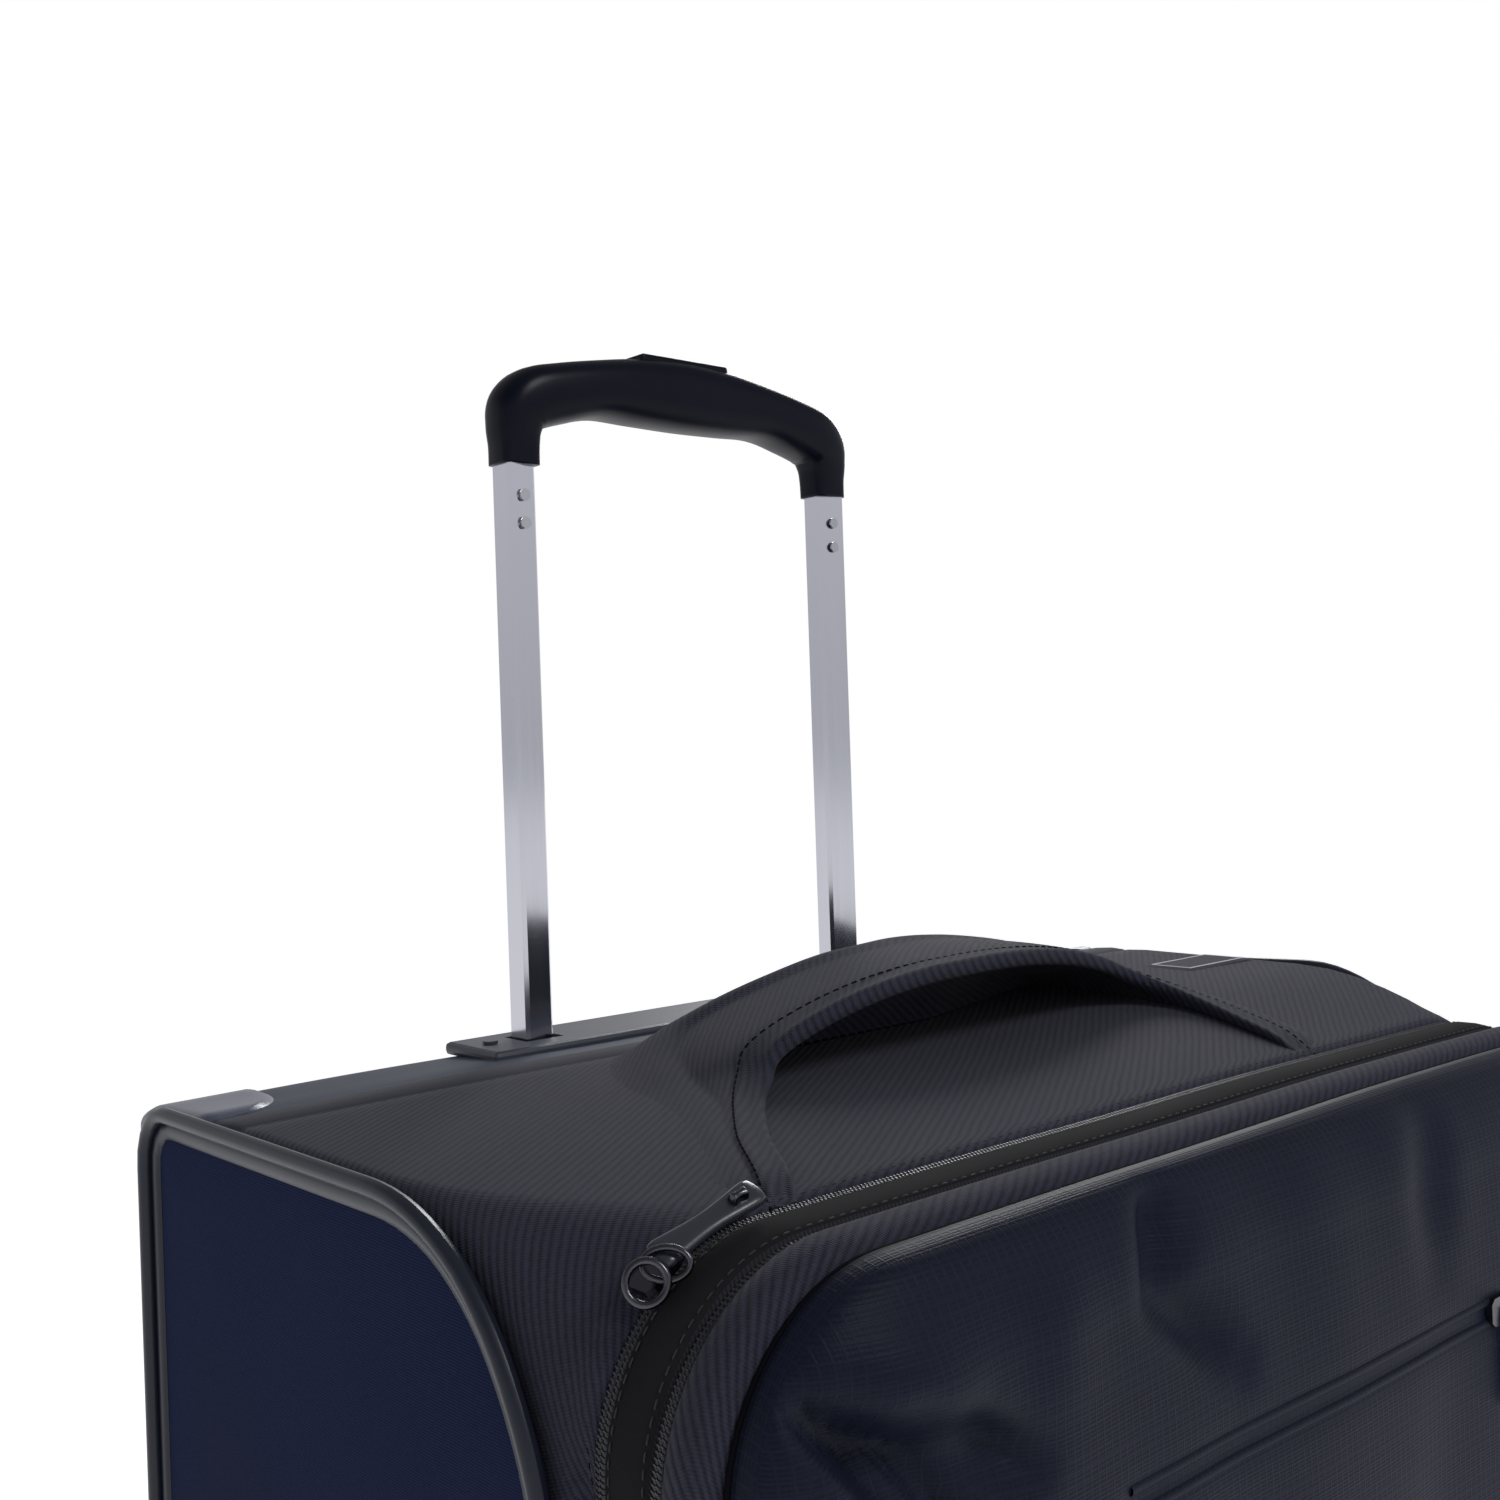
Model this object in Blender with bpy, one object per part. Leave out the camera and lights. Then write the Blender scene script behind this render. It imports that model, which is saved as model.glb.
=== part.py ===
"""Softside upright suitcase: hollow soft shell, opening lid, telescopic handle, two wheels.

Frame: metres, +Z up, -Y is the front with the lid and pocket, +Y is the back with the handle
tubes, and the origin is on the floor below the middle of the bounding box.
"""
import math

import bmesh
import bpy
from mathutils import Vector

# ---- driving dimensions -------------------------------------------------------------------
GAP = 0.0003            # clearance kept between neighbouring solids
SHIFT = Vector((0.0098, 0.0164, 0.0))  # moves the design so that its box is centred on Z
HALF_WIDTH = 0.235      # side panel to middle
SHELL_LOW = 0.060       # underside of the shell
SHELL_TOP = 0.744       # top panel at the side piping
WALL = 0.004            # fabric, foam and board together
LID_WALL = 0.003
BACK_Y = 0.140          # outside of the back panel
RIM_Y = -0.122          # plane of the main zipper, where lid and shell part
BOARD_FRONT_Y = -0.152  # flat front of the lid
POCKET_FRONT_Y = -0.181  # fullest point of the front pocket

TUBE_X = 0.085          # telescopic tubes, from the middle
TUBE_Y = 0.118
TUBE_LOW = 0.316        # lower end of the sliding tubes
SOCKET_Z = 0.976        # lower edge of the grip's sockets, handle up
SOCKET_DEPTH = 0.016
TUBE_HALF_X = 0.00725
TUBE_BACK = 0.0060      # tube section behind its centre
TUBE_FRONT_OUT = 0.0070  # and in front of it, on the outer side
TUBE_FRONT_IN = 0.0044  # and on the inner side, so that the front face slants inwards
TUBE_WALL = 0.0012
OUTER_HALF_X = 0.0102
OUTER_HALF_Y = 0.0092
OUTER_WALL = 0.0016
OUTER_LOW = 0.072
OUTER_TOP = 0.7394

BEZEL_HALF_X = 0.115
BEZEL_TOP = 0.7493
ROD_RADIUS = 0.0015
PIN_RADIUS = 0.0020

WHEEL_RADIUS = 0.034
WHEEL_X = 0.197
WHEEL_Y = 0.116
AXLE_RADIUS = 0.004
HOUSING_IN_X = 0.160
HOUSING_OUT_X = 0.2365
HOUSING_FRONT_Y = 0.060
HOUSING_BACK_Y = 0.1535
HOUSING_LOW = 0.018
HOUSING_TOP = 0.128

PIPING_RADIUS = 0.0026
SIDE_PANEL_THICK = 0.0009
PIPING_X = 0.2380
COIL_RADIUS = 0.0018
LID_HINGE_X = 0.2366
CORNER_STEPS = 6

# Stations of the outer skin: depth Y, how far the outline is pulled in, corner radius.
SHELL_STATIONS = [
    (0.1400, 0.0100, 0.008),
    (0.1365, 0.0030, 0.006),
    (0.1290, 0.0000, 0.005),
    (-0.0320, 0.0000, 0.005),
    (-0.0620, 0.0002, 0.014),
    (-0.0860, 0.0006, 0.028),
    (-0.1040, 0.0015, 0.042),
    (RIM_Y, 0.0040, 0.050),
]
LID_STATIONS = [
    (RIM_Y - 0.0006, 0.0040, 0.050),
    (-0.1410, 0.0080, 0.050),
    (-0.1490, 0.0100, 0.050),
    (BOARD_FRONT_Y, 0.0160, 0.046),
]
POCKET_STATIONS = [
    (BOARD_FRONT_Y - GAP, 0.0165, 0.046),
    (-0.1600, 0.0120, 0.050),
    (-0.1690, 0.0140, 0.050),
    (-0.1770, 0.0260, 0.046),
    (POCKET_FRONT_Y, 0.0560, 0.040),
]

for old in list(bpy.data.objects):
    bpy.data.objects.remove(old, do_unlink=True)


# ---- materials ----------------------------------------------------------------------------
def material(name, colour, roughness, metallic=0.0):
    made = bpy.data.materials.new(name)
    made.use_nodes = True
    shader = made.node_tree.nodes["Principled BSDF"]
    shader.inputs["Base Color"].default_value = (*colour, 1.0)
    shader.inputs["Roughness"].default_value = roughness
    shader.inputs["Metallic"].default_value = metallic
    return made


TWILL = material("twill", (0.020, 0.020, 0.028), 0.75)
NAVY = material("navy_panel", (0.012, 0.016, 0.040), 0.85)
LINING = material("lining", (0.10, 0.11, 0.13), 0.8)
PIPING = material("piping", (0.030, 0.034, 0.045), 0.35)
PLASTIC = material("black_plastic", (0.018, 0.020, 0.026), 0.35)
GRIP = material("grip_plastic", (0.015, 0.017, 0.024), 0.4)
ALUMINIUM = material("aluminium", (0.62, 0.62, 0.66), 0.22, 1.0)
STEEL = material("steel", (0.45, 0.45, 0.47), 0.3, 1.0)
GUNMETAL = material("gunmetal", (0.12, 0.12, 0.14), 0.3, 1.0)
BOARD = material("board", (0.05, 0.05, 0.05), 0.7)
RUBBER = material("rubber", (0.02, 0.02, 0.02), 0.85)
COIL = material("zip_coil", (0.016, 0.016, 0.018), 0.45)
LABEL = material("label", (0.010, 0.012, 0.022), 0.7)


# ---- mesh helpers -------------------------------------------------------------------------
def add_object(name, bm, look, parent=None, origin=(0, 0, 0), smooth_deg=35):
    """Turn a bmesh in design coordinates into an object whose origin is where asked."""
    at = Vector(origin)
    bmesh.ops.translate(bm, verts=bm.verts, vec=-at)
    bmesh.ops.recalc_face_normals(bm, faces=bm.faces)
    mesh = bpy.data.meshes.new(name)
    bm.to_mesh(mesh)
    bm.free()
    mesh.materials.append(look)
    mesh.shade_smooth()
    mesh.set_sharp_from_angle(angle=math.radians(smooth_deg))
    made = bpy.data.objects.new(name, mesh)
    bpy.context.collection.objects.link(made)
    if parent is None:
        made.location = at + SHIFT
    else:
        made.parent = parent
        made.location = at + SHIFT - parent.location
    return made


def axis_empty(name, location):
    made = bpy.data.objects.new(name, None)
    bpy.context.collection.objects.link(made)
    made.location = Vector(location) + SHIFT
    return made


def bridge(bm, rings, closed=False):
    """Join rings of equal length; close the ends with caps, or close the loop on itself."""
    loops = [[bm.verts.new(point) for point in ring] for ring in rings]
    count = len(loops[0])
    pairs = list(zip(loops, loops[1:]))
    if closed:
        pairs.append((loops[-1], loops[0]))
    for first, second in pairs:
        for k in range(count):
            n = (k + 1) % count
            bm.faces.new((first[k], first[n], second[n], second[k]))
    if not closed:
        bm.faces.new(list(reversed(loops[0])))
        bm.faces.new(loops[-1])
    return bm


def loft(name, rings, look, parent=None, closed=False, origin=(0, 0, 0), smooth_deg=35):
    return add_object(name, bridge(bmesh.new(), rings, closed), look, parent, origin, smooth_deg)


def block(name, low, high, look, parent=None, bevel=0.0, origin=None, segments=2):
    bm = bmesh.new()
    bmesh.ops.create_cube(bm, size=1.0)
    size = [high[k] - low[k] for k in range(3)]
    centre = [(high[k] + low[k]) / 2 for k in range(3)]
    bmesh.ops.scale(bm, verts=bm.verts, vec=size)
    bmesh.ops.translate(bm, verts=bm.verts, vec=centre)
    if bevel:
        bmesh.ops.bevel(bm, geom=bm.edges[:] + bm.verts[:], offset=bevel, segments=segments,
                        profile=0.5, affect='EDGES', clamp_overlap=True)
    return add_object(name, bm, look, parent, centre if origin is None else origin)


def cylinder(name, centre, radius, low, high, axis, look, parent=None, segments=16, origin=None):
    """A round bar along X, Y or Z between two coordinates on that axis."""
    rings = []
    for end in (low, high):
        ring = []
        for k in range(segments):
            turn = 2 * math.pi * k / segments
            a = radius * math.cos(turn)
            b = radius * math.sin(turn)
            if axis == "X":
                ring.append((end, centre[1] + a, centre[2] + b))
            elif axis == "Y":
                ring.append((centre[0] + a, end, centre[2] + b))
            else:
                ring.append((centre[0] + a, centre[1] + b, end))
        rings.append(ring)
    return loft(name, rings, look, parent, origin=centre if origin is None else origin)


def plate(name, half_x, low, high, radius, back, front, look, parent=None):
    """A flat upright board with rounded corners."""
    rings = [outline(half_x, low, high, radius, y) for y in (back, front)]
    return loft(name, rings, look, parent, origin=(0, back, (low + high) / 2))


def cut(target, cutter, operation='DIFFERENCE'):
    cutter.hide_render = True
    cutter.display_type = 'WIRE'
    modifier = target.modifiers.new(cutter.name, 'BOOLEAN')
    modifier.operation = operation
    modifier.object = cutter
    modifier.solver = 'EXACT'


def outline(half_x, low, high, radius, y):
    """A rounded rectangle in the XZ plane at depth y."""
    points = []
    corners = [(half_x - radius, high - radius, 0), (-half_x + radius, high - radius, 90),
               (-half_x + radius, low + radius, 180), (half_x - radius, low + radius, 270)]
    for cx, cz, start in corners:
        for k in range(CORNER_STEPS + 1):
            turn = math.radians(start + 90 * k / CORNER_STEPS)
            points.append((cx + radius * math.cos(turn), y, cz + radius * math.sin(turn)))
    return points


def skin_ring(y, inset, radius, grow=0.0):
    """The outline of the shell, lid or pocket at one station, grown outwards if asked."""
    reach = inset - grow
    return outline(HALF_WIDTH - reach, SHELL_LOW + reach, SHELL_TOP - reach,
                   max(radius + grow, 0.004), y)


def skin_at(y):
    """Inset and corner radius of the shell or lid at any depth, between its stations."""
    stations = SHELL_STATIONS + LID_STATIONS
    for (y0, in0, r0), (y1, in1, r1) in zip(stations, stations[1:]):
        if y1 <= y <= y0:
            part = (y0 - y) / (y0 - y1)
            return in0 + (in1 - in0) * part, r0 + (r1 - r0) * part
    return stations[-1][1:]


def frame_at(path, k, closed):
    """Unit tangent of a path at point k."""
    last = len(path) - 1
    before = path[k - 1] if k > 0 or closed else path[0]
    after = path[(k + 1) % len(path)] if k < last or closed else path[last]
    return (Vector(after) - Vector(before)).normalized()


def rod(name, path, radius, plane_normal, look, parent=None, closed=False, sides=8,
        origin=(0, 0, 0)):
    """A round rod swept along a flat path whose plane has the given normal."""
    across = Vector(plane_normal)
    rings = []
    for k, point in enumerate(path):
        side = frame_at(path, k, closed).cross(across).normalized()
        ring = []
        for s in range(sides):
            turn = 2 * math.pi * s / sides
            ring.append(Vector(point) + side * radius * math.cos(turn)
                        + across * radius * math.sin(turn))
        rings.append(ring)
    return loft(name, rings, look, parent, closed, origin)


# ---- shell --------------------------------------------------------------------------------
def make_shell():
    outer = [skin_ring(y, inset, radius) for y, inset, radius in SHELL_STATIONS]
    inner = [skin_ring(y, inset, radius, -WALL) for y, inset, radius in
             reversed(SHELL_STATIONS[2:])]
    inner += [skin_ring(y, inset, radius) for y, inset, radius in
              ((0.1335, 0.0050, 0.008), (BACK_Y - WALL, 0.0130, 0.008))]
    shell = loft("main_shell", outer + inner, TWILL)
    for side in (-1, 1):
        low_x, high_x = sorted((side * (HOUSING_IN_X - GAP * 2), side * 0.26))
        well = block("wheel_corner_cutter_%d" % side, (low_x, HOUSING_FRONT_Y - GAP * 2, 0.0),
                     (high_x, 0.20, HOUSING_TOP + GAP * 2), TWILL)
        cut(shell, well)
        cut(shell, tube_opening(side, 0.730, 0.755))
    return shell


def tube_opening(side, low, high):
    """A rectangular prism a little wider than the sliding tube."""
    return block("tube_opening_%d_%d" % (side, round(low * 1000)),
                 (side * TUBE_X - 0.0088, TUBE_Y - 0.0085, low),
                 (side * TUBE_X + 0.0088, TUBE_Y + 0.0075, high), TWILL)


def make_corner_guard(side, name):
    skin = []
    for grow in (0.0024, GAP):
        rings = [skin_ring(y, inset, radius, grow) for y, inset, radius in SHELL_STATIONS[2:4]]
        back = BACK_Y + grow
        rings.insert(0, skin_ring(BACK_Y - 0.0035 + grow * 0.7, 0.003, 0.006, grow))
        rings.insert(0, skin_ring(back, 0.010, 0.008, grow))
        skin.append(rings)
    outer, inner = skin
    guard = loft(name, outer + list(reversed(inner)), PLASTIC)
    low_x, high_x = sorted((side * 0.187, side * 0.2336))
    window = block(name + "_cutter", (low_x, 0.066, 0.692), (high_x, 0.16, 0.78), PLASTIC)
    cut(guard, window, 'INTERSECT')
    return guard


def side_outline(x, inside):
    """From behind the wheel housing, round the side panel over the top and back below."""
    back_y = 0.126
    front_y = -0.110
    low = SHELL_LOW + 0.0012
    high = SHELL_TOP - 0.0012
    points = [(x, back_y - inside, HOUSING_TOP + 0.008)]
    for cy, cz, radius, start in ((back_y - 0.020, high - 0.020, 0.020 - inside, 0),
                                  (front_y + 0.078, high - 0.078, 0.078 - inside, 90),
                                  (front_y + 0.078, low + 0.078, 0.078 - inside, 180)):
        for k in range(CORNER_STEPS + 1):
            turn = math.radians(start + 90 * k / CORNER_STEPS)
            points.append((x, cy + radius * math.cos(turn), cz + radius * math.sin(turn)))
    points.append((x, HOUSING_FRONT_Y - 0.006, low + inside))
    return points


def make_side_panel(side, word):
    """The coloured panel laid on the shell inside the piping, notched for the wheel housing."""
    rings = []
    for x in (HALF_WIDTH + GAP, HALF_WIDTH + SIDE_PANEL_THICK):
        ring = side_outline(side * x, PIPING_RADIUS + 0.0006)
        ring.append((side * x, HOUSING_FRONT_Y - 0.006, HOUSING_TOP + 0.008))
        rings.append(ring)
    loft("side_panel_" + word, rings, NAVY)


def make_shell_trim():
    for side, word in ((-1, "left"), (1, "right")):
        path = side_outline(side * PIPING_X, 0.0)
        rod("side_piping_" + word, path, PIPING_RADIUS, (1, 0, 0), PIPING, sides=6)
        make_side_panel(side, word)
        make_corner_guard(side, "corner_guard_" + word)
    block("woven_label", (0.180, -0.010, SHELL_TOP + GAP), (0.228, 0.016, SHELL_TOP + 0.0012),
          LABEL)
    plate("back_board", 0.215, 0.140, 0.728, 0.020, 0.1330, 0.1305, BOARD)
    plate("lining_panel", 0.2265, 0.136, 0.7365, 0.012, 0.1005, 0.0985, LINING)


def make_frame_rods():
    """Wire frames that hold the shell square, behind the rim and ahead of the back panel."""
    rim = outline(HALF_WIDTH - 0.0125, SHELL_LOW + 0.0125, SHELL_TOP - 0.0125, 0.040, -0.112)
    rod("frame_rod_front", rim, 0.002, (0, 1, 0), STEEL, closed=True)
    arch = outline(HALF_WIDTH - 0.0075, 0.0, SHELL_TOP - 0.0075, 0.012, 0.0935)
    over = arch[0:2 * (CORNER_STEPS + 1)]
    low = 0.134
    rear = [(over[0][0], 0.0935, low)] + over + [(over[-1][0], 0.0935, low)]
    rod("frame_rod_rear", rear, 0.002, (0, 1, 0), STEEL)


# ---- wheels, housings and feet ------------------------------------------------------------
def make_wheel(side, word):
    x = side * WHEEL_X
    hub_at = (x, WHEEL_Y, WHEEL_RADIUS)
    axle = axis_empty("wheel_axis_" + word, hub_at)
    low_x, high_x = sorted((side * HOUSING_IN_X, side * HOUSING_OUT_X))
    housing = block("wheel_housing_" + word, (low_x, HOUSING_FRONT_Y, HOUSING_LOW),
                    (high_x, HOUSING_BACK_Y, HOUSING_TOP), PLASTIC, bevel=0.009, segments=3)
    well = block("wheel_well_cutter_" + word, (x - 0.0150, 0.0765, -0.02),
                 (x + 0.0150, 0.20, 0.0745), PLASTIC)
    bore = cylinder("axle_bore_cutter_" + word, hub_at, AXLE_RADIUS + GAP, x - 0.06, x + 0.06, "X",
                    PLASTIC, segments=24)
    cut(housing, well)
    cut(housing, bore)
    cylinder("axle_" + word, hub_at, AXLE_RADIUS, x - 0.0330, x + 0.0330, "X", STEEL, segments=24)
    tyre = [(0.0242, -0.0110), (0.0310, -0.0118), (0.0334, -0.0095), (WHEEL_RADIUS, -0.0050),
            (WHEEL_RADIUS, 0.0050), (0.0334, 0.0095), (0.0310, 0.0118), (0.0242, 0.0110)]
    hub = [(AXLE_RADIUS + GAP, -0.0125), (0.0090, -0.0125), (0.0100, -0.0080), (0.0215, -0.0080),
           (0.0239, -0.0105), (0.0239, 0.0105), (0.0215, 0.0080), (0.0100, 0.0080),
           (0.0090, 0.0125), (AXLE_RADIUS + GAP, 0.0125)]
    turned("tyre_" + word, tyre, hub_at, RUBBER, axle)
    turned("hub_" + word, hub, hub_at, PLASTIC, axle)


def turned(name, profile, centre, look, parent, segments=24):
    """A ring turned about an X axis; the profile is a closed loop of radius and offset."""
    rings = []
    for k in range(segments):
        turn = 2 * math.pi * k / segments
        rings.append([(centre[0] + off, centre[1] + r * math.cos(turn),
                       centre[2] + r * math.sin(turn)) for r, off in profile])
    return loft(name, rings, look, parent, closed=True, origin=centre)


def make_feet():
    for side, word in ((-1, "left"), (1, "right")):
        rings = []
        for z, half_x, half_y, radius in ((0.0, 0.020, 0.013, 0.008), (0.006, 0.023, 0.016, 0.010),
                                          (0.030, 0.026, 0.019, 0.012),
                                          (SHELL_LOW - GAP, 0.034, 0.024, 0.014)):
            flat = outline(half_x, -half_y, half_y, radius, 0.0)
            rings.append([(px + side * 0.170, pz - 0.078, z) for px, _, pz in flat])
        loft("front_foot_" + word, rings, PLASTIC)
    section = [(0.076, 0.0566), (0.1438, 0.0566), (0.1438, 0.120), (0.1404, 0.120),
               (0.1404, 0.0597), (0.076, 0.0597)]
    rings = [[(x, y, z) for y, z in section] for x in (-0.1592, 0.1592)]
    loft("bottom_guard", rings, PLASTIC)


# ---- telescopic handle --------------------------------------------------------------------
def tube_section(side, grow, z, centre_x):
    """The sliding tube's section: flat back, front face slanting in towards the middle."""
    half = TUBE_HALF_X + grow
    back = TUBE_BACK + grow
    out = -TUBE_FRONT_OUT - grow
    inn = -TUBE_FRONT_IN - grow
    chamfer = 0.0014
    points = [(half - chamfer, back), (half, back - chamfer), (half, out + chamfer),
              (half - chamfer, out), (-half + chamfer, inn), (-half, inn + chamfer),
              (-half, back - chamfer), (-half + chamfer, back)]
    return [(centre_x + side * px, TUBE_Y + py, z) for px, py in points]


def make_tubes(handle):
    for side, word in ((-1, "left"), (1, "right")):
        x = side * TUBE_X
        top = SOCKET_Z + SOCKET_DEPTH
        rings = [tube_section(side, 0.0, TUBE_LOW, x), tube_section(side, 0.0, top, x),
                 tube_section(side, -TUBE_WALL, top, x), tube_section(side, -TUBE_WALL, TUBE_LOW, x)]
        loft("slide_tube_" + word, rings, ALUMINIUM, handle, closed=True, smooth_deg=20)
        rings = []
        for half_x, half_y, z in ((OUTER_HALF_X, OUTER_HALF_Y, OUTER_LOW),
                                  (OUTER_HALF_X, OUTER_HALF_Y, OUTER_TOP),
                                  (OUTER_HALF_X - OUTER_WALL, OUTER_HALF_Y - OUTER_WALL, OUTER_TOP),
                                  (OUTER_HALF_X - OUTER_WALL, OUTER_HALF_Y - OUTER_WALL, OUTER_LOW)):
            flat = outline(half_x, -half_y, half_y, 0.0012, 0.0)
            rings.append([(px + x, pz + TUBE_Y, z) for px, _, pz in flat])
        loft("outer_tube_" + word, rings, ALUMINIUM, closed=True)
        plug = block("tube_plug_" + word, (x - 0.0076, TUBE_Y - 0.0066, TUBE_LOW - 0.020),
                     (x + 0.0076, TUBE_Y + 0.0064, TUBE_LOW - GAP), PLASTIC, handle)
        pin_z = TUBE_LOW - 0.010
        mouth_low, mouth_high = sorted((x - side * 0.0020, x + side * 0.012))
        bore = cylinder("pin_bore_cutter_" + word, (x, TUBE_Y, pin_z), PIN_RADIUS + GAP, mouth_low,
                        mouth_high, "X", PLASTIC)
        cut(plug, bore)
        pin_low, pin_high = sorted((x + side * 0.0020, x + side * 0.0080))
        pin_axis = axis_empty("pin_axis_" + word, (x, TUBE_Y, pin_z))
        cylinder("lock_pin_" + word, (x, TUBE_Y, pin_z), PIN_RADIUS, pin_low, pin_high, "X", STEEL,
                 pin_axis, segments=12)
    block("tube_foot_bracket", (-0.105, 0.1060, SHELL_LOW + WALL + GAP),
          (0.105, 0.1265, OUTER_LOW - GAP), PLASTIC, bevel=0.0015, segments=1)


def grip_rings():
    """Sections of the grip from one socket, over the top, to the other socket."""
    stations = [(85.0, 0.0, 8.9, 8.4), (85.0, 6.0, 9.3, 8.9), (85.3, 12.0, 10.0, 9.6),
                (84.6, 20.0, 11.4, 10.4), (81.5, 28.0, 13.2, 11.0), (73.5, 31.6, 11.6, 11.4),
                (63.0, 32.4, 10.3, 11.8), (50.0, 33.2, 10.8, 12.3), (35.0, 34.4, 12.3, 12.9),
                (18.0, 35.3, 13.9, 13.3), (0.0, 35.6, 14.4, 13.4)]
    mirrored = [(-x, z, thick, deep) for x, z, thick, deep in reversed(stations[:-1])]
    rings = []
    path = [(x / 1000, 0.0, z / 1000) for x, z, _, _ in stations + mirrored]
    for k, (_, _, thick, deep) in enumerate(stations + mirrored):
        tangent = Vector((0, 0, 1)) if k == 0 else frame_at(path, k, False)
        if k == len(path) - 1:
            tangent = Vector((0, 0, -1))
        normal = tangent.cross(Vector((0, 1, 0)))
        ring = []
        for s in range(16):
            turn = 2 * math.pi * s / 16
            a = math.copysign(abs(math.cos(turn)) ** 0.8, math.cos(turn)) * thick / 1000
            b = math.copysign(abs(math.sin(turn)) ** 0.8, math.sin(turn)) * deep / 1000
            ring.append(Vector(path[k]) + normal * a + Vector((0, b, 0))
                        + Vector((0, TUBE_Y, SOCKET_Z)))
        rings.append(ring)
    return rings


def make_grip(handle, release):
    """Grip with two tube sockets, a button pocket, and a channel for the release bar."""
    grip = loft("pull_grip", grip_rings(), GRIP, handle, origin=(0, TUBE_Y, SOCKET_Z))
    bar_z = SOCKET_Z + 0.0300
    channel = block("grip_channel_cutter", (-0.0890, TUBE_Y - 0.0036, bar_z - 0.0070),
                    (0.0890, TUBE_Y + 0.0036, bar_z + 0.0030), GRIP)
    pocket = block("button_pocket_cutter", (-0.0243, TUBE_Y - 0.0073, bar_z - 0.0030),
                   (0.0243, TUBE_Y + 0.0073, SOCKET_Z + 0.070), GRIP)
    cut(grip, channel)
    cut(grip, pocket)
    for side, word in ((-1, "left"), (1, "right")):
        x = side * TUBE_X
        rings = [tube_section(side, GAP, z, x) for z in (SOCKET_Z - 0.004,
                                                         SOCKET_Z + SOCKET_DEPTH + GAP)]
        cut(grip, loft("socket_cutter_" + word, rings, GRIP))
        cut(grip, cylinder("rod_hole_cutter_" + word, (x, TUBE_Y, SOCKET_Z), ROD_RADIUS + 0.0006,
                           SOCKET_Z + 0.010, bar_z - 0.0060, "Z", GRIP, segments=12))
        cylinder("release_rod_" + word, (x, TUBE_Y, SOCKET_Z), ROD_RADIUS,
                 TUBE_LOW + 0.0050, bar_z - 0.0022, "Z", STEEL, release, segments=10)
        for k in range(2):
            height = SOCKET_Z - 0.0125 - 0.0110 * k
            cylinder("grip_rivet_%s_%d" % (word, k + 1), (x, TUBE_Y, height), 0.0024,
                     TUBE_Y - 0.0073, TUBE_Y - 0.0065, "Y", STEEL, handle, segments=14)
    block("release_bar", (-0.0870, TUBE_Y - 0.0030, bar_z - 0.0018),
          (0.0870, TUBE_Y + 0.0030, bar_z + 0.0018), PLASTIC, release)
    block("release_button", (-0.0238, TUBE_Y - 0.0068, bar_z + 0.0022),
          (0.0238, TUBE_Y + 0.0068, SOCKET_Z + 0.0520), PLASTIC, release, bevel=0.0016)


def make_bezel():
    bezel = block("handle_bezel", (-BEZEL_HALF_X, 0.098, SHELL_TOP + GAP),
                  (BEZEL_HALF_X, 0.1360, BEZEL_TOP), PLASTIC, bevel=0.0018)
    for side in (-1, 1):
        cut(bezel, tube_opening(side, 0.741, 0.760))
    for side, word in ((-1, "left"), (1, "right")):
        cylinder("bezel_screw_" + word, (side * 0.105, TUBE_Y, BEZEL_TOP), 0.0030,
                 BEZEL_TOP + GAP, BEZEL_TOP + 0.0012, "Z", STEEL)


# ---- carry handles ------------------------------------------------------------------------
def band_rings(stations):
    """Flat padded band: each station has its back edge, front edge and thickness."""
    rings = []
    for back, front, thick in stations:
        b = Vector(back) / 1000
        f = Vector(front) / 1000
        down = Vector((0, 0, -thick / 1000))
        soft = (b - f) * 0.04
        rings.append([b - soft, f + soft, f + down * 0.5, f + soft + down, b - soft + down,
                      b + down * 0.5])
    return rings


def make_top_handle():
    """The top band fans out from its arch to two wide sewn-down ends."""
    half = [((87, 63, 746.6), (136, -73, 746.6), 2.0), ((80, 52, 750.0), (118, -66, 751.0), 4.5),
            ((66, 36, 760.0), (92, -58, 762.5), 7.5), ((44, 18, 770.5), (60, -50, 773.0), 9.0),
            ((20, 6, 775.5), (28, -45, 777.5), 10.0), ((0, 2, 777.0), (0, -44, 779.0), 10.0)]
    other = [((-b[0], b[1], b[2]), (-f[0], f[1], f[2]), t) for b, f, t in reversed(half[:-1])]
    loft("carry_handle_top", band_rings(half + other), TWILL)


def make_side_handle():
    """A padded band on the left side for lifting the case on its edge."""
    reach = [(-95, 1.4, 1.8), (-78, 3.5, 3.4), (-60, 11.0, 6.0), (-38, 20.0, 8.0), (-14, 24.0, 9.0),
             (14, 24.0, 9.0), (38, 20.0, 8.0), (60, 11.0, 6.0), (78, 3.5, 3.4), (95, 1.4, 1.8)]
    rings = []
    for z, out, thick in reach:
        x = -HALF_WIDTH - SIDE_PANEL_THICK - out / 1000
        near = min(x + thick / 1000, -HALF_WIDTH - SIDE_PANEL_THICK - GAP)
        height = 0.400 + z / 1000
        rings.append([(x, -0.018, height), (x, 0.032, height), (near, 0.033, height),
                      (near, -0.019, height)])
    loft("carry_handle_side", rings, TWILL)


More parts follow.
